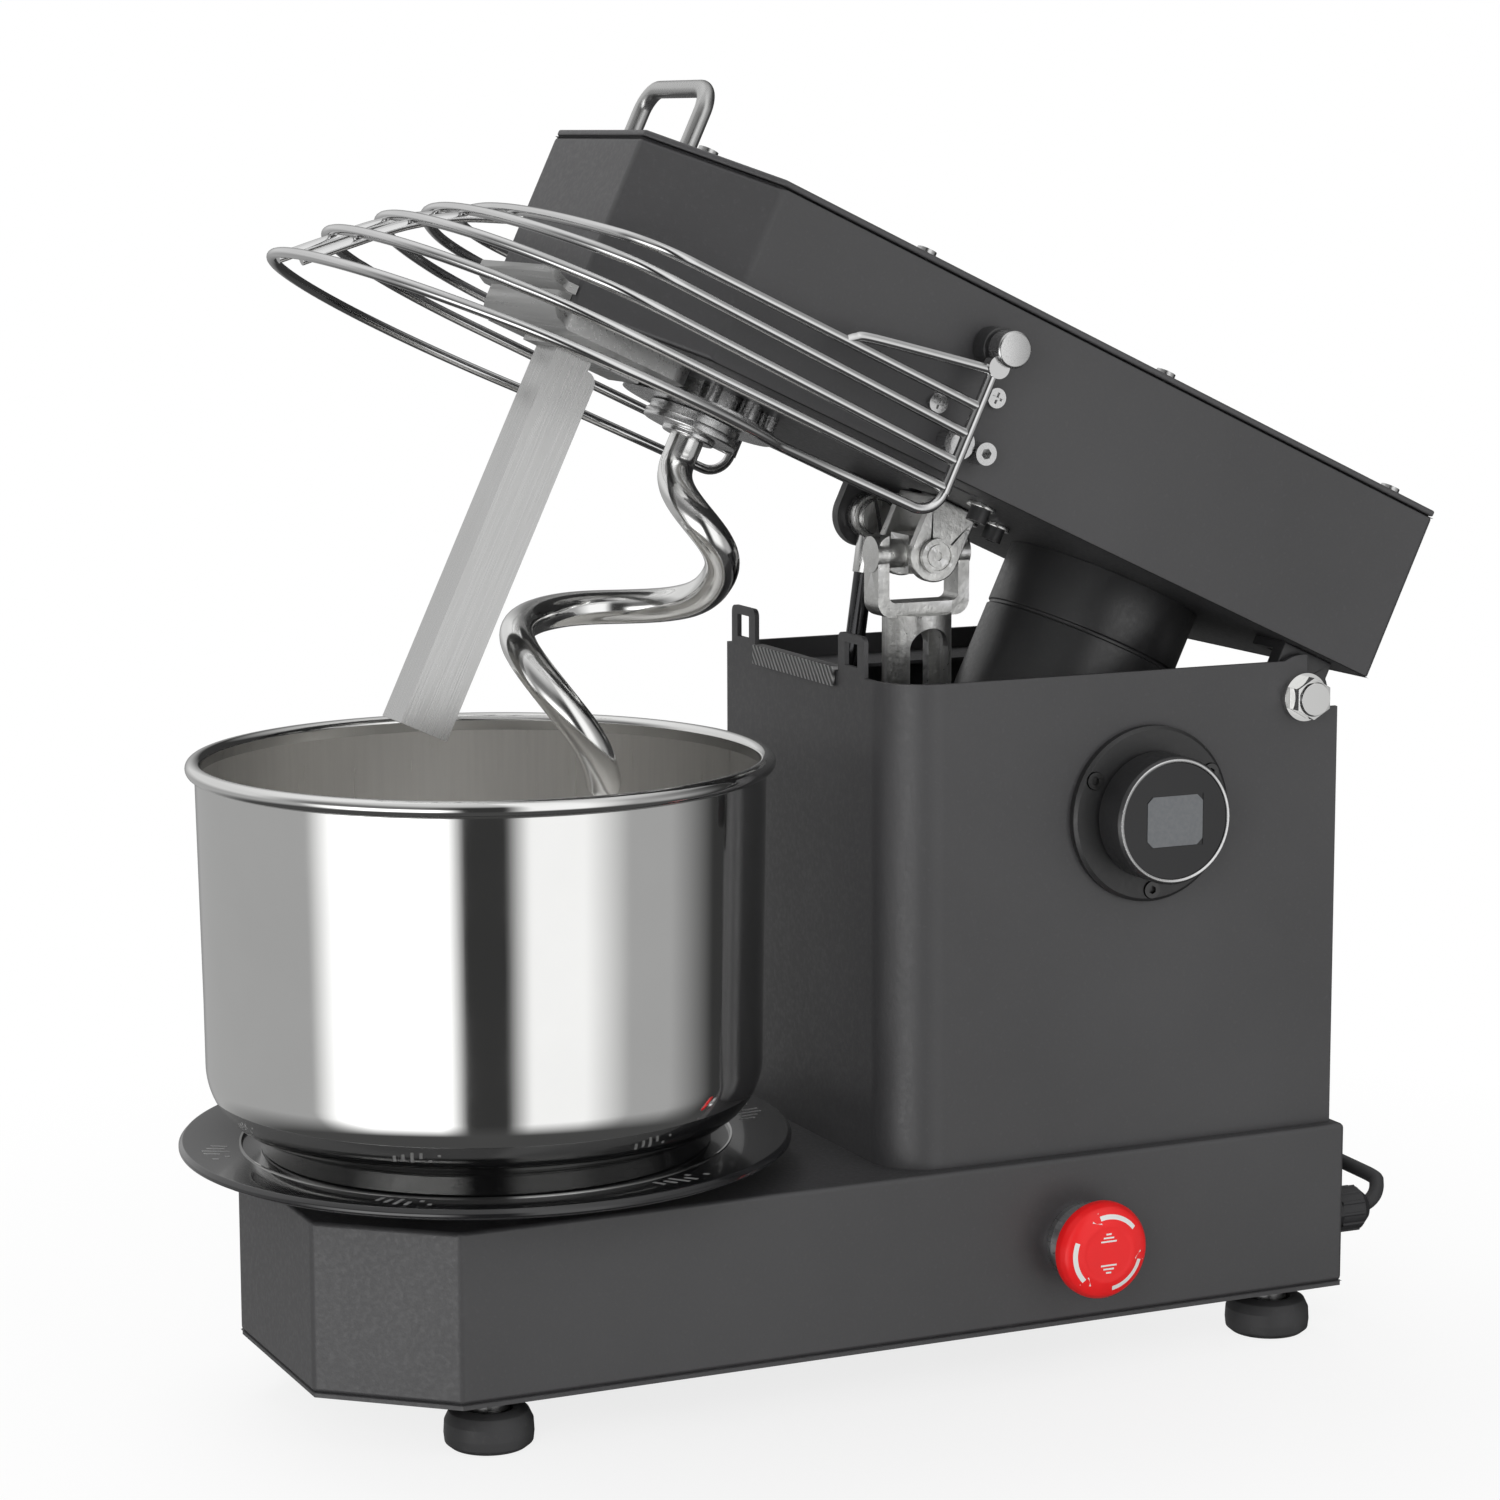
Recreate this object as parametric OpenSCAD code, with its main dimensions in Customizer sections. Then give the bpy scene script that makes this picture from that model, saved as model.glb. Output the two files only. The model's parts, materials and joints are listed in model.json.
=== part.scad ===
// Bench-top spiral dough mixer, head tipped back. Millimetres, +Z up, floor at Z = 0.
// -Y is the bowl end, +Y the hinge end, +X the control side.
// Parts are drawn with the bowl axis at X = Y = 0, then shifted by placed().
// Parts on the head are drawn with the head shut, then tipped back by on_head().

/* [Base and tower] */
// width of the base box
base_w = 172; // [168:1:180]
// height of the rubber feet under the base
foot_h = 22; // [20:1:24]
// width of the tower
tower_w = 160; // [156:1:162]
// thickness of the steel sheet
sheet = 2; // [1.5:0.1:2.2]

/* [Head] */
// angle the head is tipped back in the drawn position
open_angle = 25; // [5:1:25]
// height of the head casing
head_h = 72; // [68:1:80]
// height of the lift handle above the lid
handle_h = 31; // [28:1:40]

/* [Bowl and tools] */
// radius of the bowl wall at the top
bowl_r = 112.8; // [108:0.2:113]
// height of the bowl rim above the floor
rim_z = 257.2; // [240:0.2:257.2]
// radius of the spiral as seen from above
hook_r = 33; // [28:0.5:34]
// diameter of the spiral rod
hook_d = 14; // [11:0.5:15]
// side of the square breaker bar
bar_w = 21; // [16:1:22]

/* [Guard] */
// diameter of the guard wire
wire_d = 4.2; // [3.6:0.1:4.6]

/* [Controls] */
// diameter of the control knob
knob_d = 52; // [44:1:54]
// diameter of the stop button
stop_d = 40; // [34:1:42]

/* [Hidden] */
// which sub-part to draw

origin_y = 134.3;  // shift that puts the origin under the middle of the machine
hinge_y = 330;
hinge_z = 273;
base_h = 70;       // base box with its plate, above the feet
base_top = foot_h+base_h;
base_front = -90;
base_back = 351;
plate_z = foot_h+1.95;  // just above the base plate
tower_front = 143;
tower_back = 347;
tower_top = 288;
tower_side = tower_w/2;
head_bottom = 291;      // head shut
head_top = head_bottom+head_h;
head_side = 84;
spiral_y = 66;
joint_y = 181;     // universal joint centre, head shut
joint_z = 268;
motor_y = 268;
knob_y = 257;
knob_z = 230;
knob_r = knob_d/2;
bezel_screw_r = 31;
stop_y = 225;
stop_z = 57;
stop_r = stop_d/2;
cord_x = 70;
cord_z = 50;
// gas strut pivots, head shut
strut_x = -32;
strut_foot_y = 155.5;
strut_foot_z = 118;
strut_eye_y = 171;
strut_eye_z = 277;
// bottom and top of the belt wheels
base_wheel_z = [39,50];
motor_wheel_z = [318.5,331];
spiral_wheel_z = [336.5,349];
belt_t = 1.8;

/* ---------------- helpers ---------------- */
module placed() translate([0,-origin_y,0]) children();
module on_head() placed() translate([0,hinge_y,hinge_z]) rotate([-open_angle,0,0])
  translate([0,-hinge_y,-hinge_z]) children();
module up(z) translate([0,0,z]) children();
module both_sides() for (side=[-1,1]) scale([side,1,1]) children();
module around(count) for (i=[0:count-1]) rotate(i*360/count) children();

// round rods along each axis, and a block given by its limits
module rod_x(x0,x1,y,z,d,fn=48) translate([x0,y,z]) rotate([0,90,0]) cylinder(d=d,h=x1-x0,$fn=fn);
module rod_y(y0,y1,x,z,d,fn=48) translate([x,y0,z]) rotate([-90,0,0]) cylinder(d=d,h=y1-y0,$fn=fn);
module rod_z(z0,z1,x,y,d,fn=48) translate([x,y,z0]) cylinder(d=d,h=z1-z0,$fn=fn);
module block(x0,x1,y0,y1,z0,z1) translate([x0,y0,z0]) cube([x1-x0,y1-y0,z1-z0]);

// extrudes a [y, z] outline, centred on X = 0
module side_extrude(width)
  translate([-width/2,0,0]) rotate([90,0,90]) linear_extrude(width) children();

// plan of a box with two cut front corners
function nosed_plan(half,front,back,cut_x,cut_y,inset) =
  let(cut = norm([cut_x,cut_y]),
      nose_x = half-cut_x-inset*cut_y/cut+inset*(1-cut_x/cut)*cut_x/cut_y,
      side_y = front+inset*cut_x/cut+cut_y*(cut_x-inset+inset*cut_y/cut)/cut_x,
      side_x = half-inset)
  [[-nose_x,front+inset],[nose_x,front+inset],[side_x,side_y],
   [side_x,back-inset],[-side_x,back-inset],[-side_x,side_y]];

// round bar swept along a list of points; the start normal is carried from point to point
function unit(v) = v/norm(v);
function tangent(path,i) = unit(
  i==0 ? path[1]-path[0] :
  i==len(path)-1 ? path[i]-path[i-1] : path[i+1]-path[i-1]);
function flatten(v,along) = unit(v-(v*along)*along);
function frames(path,normal) = [
  for (i=0, n=flatten(normal,tangent(path,0)); i<len(path);
       i=i+1, n=(i<len(path) ? flatten(n,tangent(path,i)) : n))
    [tangent(path,i),n]];
module sweep(path,r,normal,sides) {
  frame = frames(path,normal);
  last = len(path)-1;
  points = [for (i=[0:last]) for (j=[0:sides-1])
    let(n=frame[i][1], b=cross(frame[i][0],n), a=360*j/sides)
    path[i]+r*(cos(a)*n+sin(a)*b)];
  faces = concat(
    [[for (j=[0:sides-1]) j]],
    [for (i=[0:last-1]) for (j=[0:sides-1]) let(k=(j+1)%sides)
      [(i+1)*sides+j,(i+1)*sides+k,i*sides+k,i*sides+j]],
    [[for (j=[sides-1:-1:0]) last*sides+j]]);
  polyhedron(points=points,faces=faces,convexity=8);
}

// belt wheel with a lip at each end; z is its [bottom, top]
module belt_wheel(z,y,d,lip_d,lip,fn) {
  rod_z(z[0],z[1],0,y,d,fn);
  rod_z(z[0]-lip,z[0]+0.1,0,y,lip_d,fn);
  rod_z(z[1]-0.1,z[1]+lip,0,y,lip_d,fn);
}
module belt_plan(y1,r1,y2,r2) hull() {
  translate([0,y1]) circle(r=r1,$fn=72);
  translate([0,y2]) circle(r=r2,$fn=72);
}
module loop_belt(y1,r1,y2,r2,z,h) up(z) linear_extrude(h,convexity=4) difference() {
  belt_plan(y1,r1+belt_t,y2,r2+belt_t);
  belt_plan(y1,r1,y2,r2);
}

/* ---------------- base ---------------- */
module base_plan(inset=0,margin=0) polygon(
  nosed_plan(base_w/2-margin,base_front+margin,base_back-margin,40,46,inset));
module at_feet() for (x=[-64,64], y=[-25,328]) translate([x,y,0]) children();

module base_housing() color("DimGray") placed() difference() {
  up(foot_h+2) linear_extrude(base_h-2) base_plan();
  up(foot_h+1) linear_extrude(base_h-1-sheet) base_plan(inset=sheet);
  rod_z(base_top-10,base_top+5,0,0,46);
  block(-66,66,158,332,base_top-10,base_top+5);
  rod_x(base_w/2-12,base_w/2+5,stop_y,stop_z,22.4);
  rod_y(base_back-10,base_back+5,cord_x,cord_z,12.6);
}
module base_plate() color("DarkGray") placed() difference() {
  up(foot_h) linear_extrude(1.9) base_plan(margin=0.6);
  at_feet() rod_z(foot_h-2,foot_h+4,0,0,8.4);
  rod_z(foot_h-2,foot_h+4,0,0,24);
  rod_z(foot_h-2,foot_h+4,0,joint_y,16);
}
module rubber_feet() color("Black") placed() at_feet() rotate_extrude($fn=64) polygon([
  [9,0],[15.5,0],[17.5,2],[17.5,9.5],[14.5,13],[9.5,13.6],
  [9.5,foot_h-0.1],[4.2,foot_h-0.1],[4.2,6],[9,6]]);
module foot_screws() color("Silver") placed() at_feet() {
  rod_z(1.5,5.9,0,0,14,6);
  rod_z(5,foot_h+12,0,0,8);
  rod_z(foot_h+2,foot_h+8.4,0,0,14.4,6);
}

/* ---------------- tower ---------------- */
// rectangle with one rounded corner, front on the +X side
module tower_plan(inset) {
  w = tower_side-inset;
  r = 22-inset;
  y = tower_front+inset;
  translate([-w,y]) square([2*w-r,tower_back-tower_front-2*inset]);
  translate([-w,y+r]) square([2*w,tower_back-tower_front-2*inset-r]);
  translate([w-r,y+r]) circle(r=r,$fn=96);
}
// fork at the foot of the strut, inside the tower
module strut_fork() {
  back = strut_foot_y+7;
  for (x=[strut_x-8.6,strut_x+5]) {
    rod_x(x,x+3.6,strut_foot_y,strut_foot_z,14);
    block(x,x+3.6,tower_front+1,back,strut_foot_z-20,strut_foot_z);
  }
  block(strut_x-8.6,strut_x+8.6,tower_front+1,back,strut_foot_z-23.9,strut_foot_z-19);
  rod_x(strut_x-7,strut_x+7,strut_foot_y,strut_foot_z,5,32);
}
module tower_walls() difference() {
  up(base_top) linear_extrude(tower_top-base_top) tower_plan(0);
  up(base_top-1) linear_extrude(tower_top-base_top+2) tower_plan(sheet);
}
// foot flange turned inwards
module tower_flange() difference() {
  up(base_top) linear_extrude(sheet) tower_plan(0.5);
  block(-66,66,158,332,base_top-1,base_top+5);
}
module tower_shell() color("DimGray") placed() {
  strut_fork();
  difference() {
    union() {
      tower_walls();
      tower_flange();
      // hinge ears
      for (x=[-tower_side,tower_side-sheet])
        translate([x,hinge_y,hinge_z]) rotate([0,90,0]) cylinder(r=17.4,h=sheet,$fn=96);
      // two catch tabs
      for (x=[-75,28])
        translate([x,tower_front+sheet,0]) rotate([90,0,0]) linear_extrude(sheet) {
          translate([3,tower_top-1]) offset(r=3,$fn=32) square([17.5,304.5-tower_top-2]);
          translate([0,tower_top-1]) square([23.5,5]);
        }
    }
    // open back corner so the head can swing
    block(-100,100,hinge_y+2,400,268,300);
    block(-tower_side+sheet,tower_side-sheet,hinge_y-20,400,262,300);
    // windows in the catch tabs
    for (x=[-69.2,34]) block(x,x+11.5,tower_front-5,tower_front+8,291.5,301);
    rod_x(-100,100,hinge_y,hinge_z,12.4);
    // knob and bezel screw holes
    rod_x(tower_side-5,tower_side+5,knob_y,knob_z,9.4);
    for (a=[30,150,270]) rod_x(tower_side-5,tower_side+5,
      knob_y+bezel_screw_r*cos(a),knob_z+bezel_screw_r*sin(a),4.3);
  }
}
// strip slotted over the top edge of the tower's front wall
module rest_pad() color("#222222") placed() difference() {
  block(-51.2,26,tower_front-1.6,tower_front+sheet+1.6,281.8,290);
  block(-56,27,tower_front-0.1,tower_front+sheet+0.1,278,tower_top+0.1);
}
module inner_tray() color("Gray") placed() difference() {
  intersection() {
    up(278) linear_extrude(1.5) tower_plan(sheet+0.15);
    block(-90,90,tower_front+4.2,312,270,290);
  }
  block(-47,47,204,320,270,290);
  block(-24,24,156,214,270,290);
  block(-46,-20,154,214,270,290);
  rod_z(270,290,-62,262,9);
  rod_z(270,290,62,190,9);
}
module hinge_bolts() color("Silver") placed() both_sides() {
  rod_x(tower_side+0.05,tower_side+2.6,hinge_y,hinge_z,20);
  rod_x(tower_side+2.5,tower_side+9,hinge_y,hinge_z,17.4,6);
  translate([tower_side+8.99,hinge_y,hinge_z]) rotate([0,90,0])
    cylinder(d1=14.4,d2=13.4,h=1.4,$fn=64);
  rod_x(62,tower_side+1,hinge_y,hinge_z,11.9);
  rod_x(60,66.5,hinge_y,hinge_z,18,6);
}
module hinge_bushes() color("Goldenrod") on_head() both_sides() difference() {
  union() {
    rod_x(68.3,76.7,hinge_y,hinge_z,15.9);
    rod_x(76.3,77.7,hinge_y,hinge_z,20);
  }
  rod_x(60,90,hinge_y,hinge_z,12);
}

/* ---------------- knob and stop button ---------------- */
// local +Z points out of the +X side
module at_knob() placed() translate([tower_side,knob_y,knob_z]) rotate([0,90,0]) children();
module at_bezel_screws() around(3) translate([bezel_screw_r,0,0]) children();

module display_bezel() color("DimGray") at_knob() difference() {
  union() {
    up(0.1) cylinder(r=36,h=3,$fn=120);
    up(3) cylinder(r1=36,r2=34.6,h=1.2,$fn=120);
  }
  up(-1) cylinder(r=5.2,h=8,$fn=48);
  at_bezel_screws() up(-1) cylinder(d=4.3,h=8,$fn=32);
  at_bezel_screws() up(2) cylinder(d=7.4,h=8,$fn=32);
}
module bezel_screws() color("Silver") at_knob() at_bezel_screws() difference() {
  union() {
    up(2.05) cylinder(d=7,h=3,$fn=40);
    up(-6) cylinder(d=4,h=9,$fn=32);
  }
  up(3.2) cylinder(d=3.5,h=4,$fn=6);
}
// turning outer ring; the glass and display inside it stay still on the encoder stem
module knob_ring() color("Black") at_knob() rotate_extrude($fn=128) polygon([
  [15,5],[knob_r-1.4,5],[knob_r,6.2],[knob_r,21.2],[knob_r-0.9,22.4],
  [knob_r-2.3,22.4],[knob_r-2.3,19],[knob_r-4,19],[knob_r-4,8],[15,8]]);
module knob_glass() color("#111111") at_knob() difference() {
  up(20.1) cylinder(r=knob_r-2.45,h=1.9,$fn=128);
  translate([-10.5,-13,21.7]) cube([21,26,2]);
}
// rectangle with its corners cut off by a diamond
module display_panel() color("#9aa0a0") at_knob() intersection() {
  translate([-10.2,-12.7,21.75]) cube([20.4,25.4,0.4]);
  rotate(45) translate([-14.4,-14.4,20]) cube([28.8,28.8,4]);
}
module knob_encoder() color("#333333") at_knob() {
  up(-22) cylinder(d=30,h=19.9,$fn=64);
  up(-2.2) cylinder(d=9,h=10.4,$fn=48);
  up(8.1) cylinder(d=40,h=10.8,$fn=64);
  up(18.8) cylinder(r=knob_r-4.2,h=1.2,$fn=96);
}

module at_stop() placed() translate([base_w/2,stop_y,stop_z]) rotate([0,90,0]) children();
module stop_collar() color("Silver") at_stop() difference() {
  union() {
    up(0.1) cylinder(r=15.8,h=3,$fn=96);
    up(3) cylinder(r1=15.8,r2=14.6,h=5,$fn=96);
    up(-14) cylinder(r=11,h=14.2,$fn=64);
  }
  up(-20) cylinder(r=7.2,h=40,$fn=64);
  up(5) cylinder(r=12,h=40,$fn=64);
}
module stop_stem() color("Gainsboro") at_stop() {
  up(-16) cylinder(r=7.1,h=28,$fn=64);
  up(11.9) cylinder(r=3,h=4,$fn=40);
}
module stop_mushroom() color("Red") at_stop() difference() {
  rotate_extrude($fn=128) polygon(concat(
    [[0,13],[stop_r-2,12.8],[stop_r,14.4],[stop_r,16.8],[stop_r-1.1,19]],
    [for (i=[1:7]) let(a=90*i/8) [(stop_r-1.1)*cos(a),19+4.6*sin(a)]],
    [[0,19+4.6]]));
  up(10) cylinder(r=3.05,h=6.2,$fn=40);
}
module stop_contact_block() color("#2b2b2b") at_stop() difference() {
  union() {
    translate([-15,-15,-38]) cube([30,30,20.5]);
    up(-18) cylinder(r=14,h=4,$fn=64);
  }
  up(-24) cylinder(r=7.6,h=20,$fn=48);
  up(-15.1) cylinder(r=11.2,h=3,$fn=64);
}

/* ---------------- power cord and electronics ---------------- */
module cable_gland() color("#1c1c1c") placed() difference() {
  union() {
    rod_y(base_back+0.1,base_back+5,cord_x,cord_z,21,6);
    rod_y(base_back+4.9,base_back+16,cord_x,cord_z,18.6,64);
    translate([cord_x,base_back+5,cord_z]) rotate([-90,0,0])
      around(12) translate([9.1,0,0]) cylinder(d=1.6,h=10.5,$fn=16);
    translate([cord_x,base_back+15.9,cord_z]) rotate([-90,0,0])
      cylinder(d1=18.6,d2=12,h=4,$fn=64);
    rod_y(base_back-10,base_back+1,cord_x,cord_z,12.4);
    rod_y(base_back-8,base_back-2.1,cord_x,cord_z,19,6);
  }
  rod_y(base_back-20,base_back+30,cord_x,cord_z,7.6);
}
// leaves the back, bends up and over, then runs towards -X and falls
module power_cord() color("#141414") placed() {
  steps = 44;
  path = concat([[cord_x,base_back-24,cord_z]],
    [for (i=[0:steps]) let(t=i/steps, bend=min(1,t*1.9), run=max(0,(t-0.42)/0.58))
      [cord_x-14*pow(bend,3)-120*run,
       base_back+16+16*sin(90*bend)-12*sin(90*min(1,run*3)),
       cord_z+14*(1-cos(90*bend))+3*sin(180*run)-26*run*run]]);
  sweep(path,3.1,[1,0,0],16);
  translate(path[steps+1]-[14,0,0]) rotate([0,90,0]) cylinder(d=6.2,h=14.3,$fn=32);
}
module at_board_posts() for (x=[-68,-26], y=[224,316]) translate([x,y,0]) children();
module control_board() color("DarkGreen") placed() {
  difference() {
    block(-72,-22,220,320,36,37.6);
    at_board_posts() rod_z(30,40,0,0,3.2);
  }
  block(-66,-48,232,262,37.5,54);
  block(-44,-28,236,252,37.5,48);
  rod_z(37.5,58,-38,280,16);
  rod_z(37.5,50,-60,290,12);
  at_board_posts() rod_z(plate_z,39.4,0,0,3.2);
  at_board_posts() rod_z(plate_z,36,0,0,6);
}

/* ---------------- turntable and drive ---------------- */
module turntable_platter() color("#101010") placed() difference() {
  rotate_extrude($fn=180) polygon([
    [10.2,98],[40,98],[44,102],[104,103.2],[119.6,103.6],[122.4,105],[122.4,106.4],[121,108],
    [98.2,106],[97.6,105.6],[97.6,104.4],[86,104.4],[86,106.4],[10.2,106.4]]);
  around(6) rod_z(90,120,22,0,5.2);
}
module turntable_shaft() color("Silver") placed() {
  rod_z(27,105.5,0,0,19.94);
  difference() {
    rod_z(95,97.9,0,0,56);
    around(6) rod_z(90,120,22,0,4.2);
  }
}
// lower bearing, upper bearing and the seat under the lower one
module drive_bearings() {
  difference() {
    rod_z(26.2,34,0,joint_y,28,64);
    rod_z(20,40,0,joint_y,12);
  }
  difference() {
    rod_z(186,195,0,joint_y,27.96,64);
    rod_z(180,200,0,joint_y,12);
  }
  difference() {
    rod_z(plate_z,26.3,0,joint_y,40,64);
    rod_z(20,40,0,joint_y,20,64);
  }
}
module base_bearings() color("LightSteelBlue") placed() {
  drive_bearings();
  for (z=[58.2,76.2]) difference() {
    rod_z(z,z+11.6,0,0,41.96,72);
    rod_z(z-1,z+13,0,0,20,72);
    // groove in each face
    for (face=[z,z+11.6]) rotate_extrude($fn=72) translate([15.5,face]) circle(d=3,$fn=24);
  }
}
module turntable_bearing_housing() color("Gray") placed() difference() {
  union() {
    rod_z(56,base_top-2.1,0,0,54,96);
    rod_z(base_top-7,base_top-2.1,0,0,78,96);
  }
  rod_z(57.9,base_top-3.2,0,0,42,96);
  rod_z(50,base_top+5,0,0,26,72);
  around(6) rod_z(70,95,34,0,5);
}
module turntable_pulley() color("Gainsboro") placed() difference() {
  union() {
    belt_wheel(base_wheel_z,0,110,114,1.6,128);
    rod_z(34,54.8,0,0,36);
  }
  rod_z(30,60,0,0,20);
  rotate(30) around(6) rod_z(30,60,36,0,20);
}
module base_belt() color("#1a1a1a") placed() loop_belt(0,55.25,joint_y,13.14,39.6,9.8);
// drive shaft with its cross pin, and the small pulley on it
module drive_shaft() color("Silver") placed() {
  rod_z(26,236,0,joint_y,11.94);
  rod_x(-17,17,joint_y,226,7.6,32);
  difference() {
    union() {
      belt_wheel(base_wheel_z,joint_y,25.8,30,1.6,64);
      rod_z(51,58,0,joint_y,20);
    }
    rod_z(30,60,0,joint_y,12);
  }
}
module drive_bearing_bridge() color("DimGray") placed() difference() {
  union() {
    block(-77.8,77.8,176,190,183,187);
    rod_z(183,196.5,0,joint_y,36);
    both_sides() block(74,77.8,176,190,183,203);
  }
  rod_z(185.9,199,0,joint_y,28,64);
  rod_z(180,190,0,joint_y,20);
  both_sides() rod_x(70,80,183,197,5);
}

/* ---------------- bowl ---------------- */
flat_r = 88;      // flat of the bowl floor
floor_z = 113;    // underside of the bowl floor
bowl_t = 1.2;
// curve from floor to wall, for a skin set in by the given amount
function bowl_curve(inset,steps) = [for (i=steps) let(a=90*i/12)
  [flat_r+(bowl_r-1.8-inset-flat_r)*sin(a),floor_z+inset+(26-inset)*(1-cos(a))]];
module bowl() color("Gainsboro") placed() {
  rotate_extrude($fn=160) polygon(concat(
    [[0,floor_z],[flat_r,floor_z]],bowl_curve(0,[1:12]),
    [[bowl_r,rim_z-1],[bowl_r-bowl_t,rim_z-1]],bowl_curve(bowl_t,[12:-1:1]),
    [[flat_r,floor_z+bowl_t],[0,floor_z+bowl_t]]));
  // rolled rim and foot ring
  rotate_extrude($fn=160) translate([bowl_r+0.4,rim_z]) circle(r=3.2,$fn=32);
  rotate_extrude($fn=160) polygon([[87.4,104.6],[90,104.6],[90,113.4],[87.4,113.4]]);
}

/* ---------------- head ---------------- */
lid_screw_points = [for (s=[-1,1]) for (q=[[56,4],[78,95],[78,213.6],[78,332.4]]) [s*q[0],q[1]]];
cap_screw_points = [[50,174.5],[-50,174.5],[14,203],[-14,203]];
handle_x = 30;
handle_y = 6;
bar_y = 6;
bar_half = bar_w/2;
bar_step = 5;   // cut off the back of the bar's upper end

module at_points(points) for (p=points) translate([p[0],p[1],0]) children();
module head_plan(inset) polygon(nosed_plan(head_side,-18.6,354,40,45.2,inset));

module head_casing() color("DimGray") on_head() difference() {
  up(head_bottom) linear_extrude(head_h-0.6) head_plan(0);
  up(head_bottom-1) linear_extrude(head_h+2) head_plan(sheet);
}
module head_bottom_plate() color("DimGray") on_head() difference() {
  z0 = head_bottom-5;
  z1 = head_bottom+5;
  up(head_bottom) linear_extrude(sheet) head_plan(sheet+0.1);
  // slots for the catch tabs
  for (x=[-77,26]) block(x,x+31,138,149,z0,z1);
  rod_z(z0,z1,0,spiral_y,44.4,72);
  rod_z(z0,z1,0,joint_y,26);
  rod_z(z0,z1,0,motor_y,16);
  // long vent slots
  both_sides() for (y=[44,150]) {
    block(59.5,64.5,y-12,y+12,z0,z1);
    for (end=[y-12,y+12]) rod_z(z0,z1,62,end,5,24);
  }
  at_points(cap_screw_points) rod_z(z0,z1,0,0,4.4,24);
}
module head_lid() color("#3a3c3e") on_head() difference() {
  up(head_top) linear_extrude(2.6) head_plan(0.3);
  at_points(lid_screw_points) rod_z(head_top-1,head_top+5,0,0,4.3,24);
  both_sides() rod_z(head_top-1,head_top+5,handle_x,handle_y,7.2,32);
}
module lid_screws() color("Silver") on_head() at_points(lid_screw_points) difference() {
  union() {
    rod_z(head_top+2.65,head_top+4.4,0,0,8,32);
    rod_z(head_top-6,head_top+3,0,0,4,24);
  }
  block(-0.5,0.5,-2.4,2.4,head_top+3.6,head_top+5);
  block(-2.4,2.4,-0.5,0.5,head_top+3.6,head_top+5);
}
module lift_handle() color("Silver") on_head() {
  bend = 10;
  top = head_top+handle_h;
  both_sides() {
    rod_z(head_top-3,top-bend,handle_x,handle_y,7);
    rod_z(head_top-5,head_top-0.1,handle_x,handle_y,13);
    rod_z(head_top+2.65,head_top+4.6,handle_x,handle_y,10.6);
    translate([handle_x-bend,handle_y,top-bend]) rotate([90,0,0])
      rotate_extrude(angle=90,$fn=64) translate([bend,0]) circle(d=7,$fn=40);
  }
  rod_x(bend-handle_x,handle_x-bend,handle_y,top,7,40);
}

// [y, z] outlines of the pan under the head and of the lip at its front
pan_outline = [[-22.6,297.4],[-22.6,291],[-20.4,286.6],[-15.5,283.5],[40,283.5],
  [40,head_bottom-0.1],[-18.75,head_bottom-0.1],[-18.75,297.4]];
lip_outline = [[-18.75,296.6],[-22.4,296.6],[-27.4,298.6],[-29.2,301.2],[-29.4,304],
  [-27.6,304.2],[-26.6,301.8],[-23.4,300.2],[-18.75,300.2]];
module under_shield() color("#6a6d70") on_head() difference() {
  union() {
    intersection() {
      side_extrude(100) polygon(pan_outline);
      translate([-33,-14,270]) linear_extrude(40) offset(r=9,$fn=48) square([66,46]);
    }
    intersection() {
      side_extrude(100) polygon(lip_outline);
      translate([-36,-21.5,270]) linear_extrude(40) offset(r=8,$fn=48) square([72,30]);
    }
    difference() {
      block(-15,15,-9,31.2,279.5,head_bottom-0.1);
      block(13.8,16,17.7,18.3,279,head_bottom);
    }
  }
  rod_z(270,300,0,spiral_y,69,96);
  // socket for the breaker bar
  block(-bar_half-0.15,bar_half+0.15,bar_y-bar_half-0.15,bar_y+bar_half-bar_step+0.15,
    270,head_bottom-1.9);
}
module hinge_brackets() color("#444444") on_head() both_sides() difference() {
  y0 = hinge_y-15;
  y1 = hinge_y+10;
  top = head_bottom-0.05;
  union() {
    rod_x(68.2,76,hinge_y,hinge_z,30,64);
    block(68.2,76,y0,y1,hinge_z,top);
    block(52,76,y0,y1,head_bottom-3.5,top);
  }
  rod_x(60,90,hinge_y,hinge_z,16,64);
  for (y=[hinge_y-9,hinge_y+4]) rod_z(280,300,60,y,5,24);
}
module head_latch() color("Silver") on_head() {
  block(-68,46,112,120,294,300);
  for (x=[-67.5,35.7]) block(x,x+8,119,137.5,294,299.5);
  block(-40,-30,104,113,294,308);
}

/* ---------------- motor and belts in the head ---------------- */
module motor_cover() color("#141414") on_head() difference() {
  union() {
    rod_z(265,head_bottom-0.1,0,motor_y,84,120);
    rod_z(183,264,0,motor_y,84,120);
    rod_z(263.5,265.5,0,motor_y,82.4,120);
  }
  rod_z(185,300,0,motor_y,80,120);
  rod_z(180,190,0,motor_y,14);
  translate([0,motor_y,0]) around(12) translate([26,0,180]) cylinder(d=7,h=10,$fn=24);
}
module motor_body() color("SteelBlue") on_head() difference() {
  union() {
    rod_z(196,288,0,motor_y,77,96);
    rod_z(192,197,0,motor_y,30);
    rod_z(187.5,193,0,motor_y,24);
    translate([0,motor_y,0]) around(24) translate([37,-1.2,205]) cube([2,2.4,74]);
  }
  rod_z(280,300,0,motor_y,12);
}
module motor_pulley() color("Silver") on_head() {
  rod_z(281,334,0,motor_y,10);
  belt_wheel(motor_wheel_z,motor_y,22.5,28,1.5,64);
}
module motor_belt() color("#1a1a1a") on_head() loop_belt(joint_y,36.35,motor_y,11.52,319.2,10);
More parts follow.
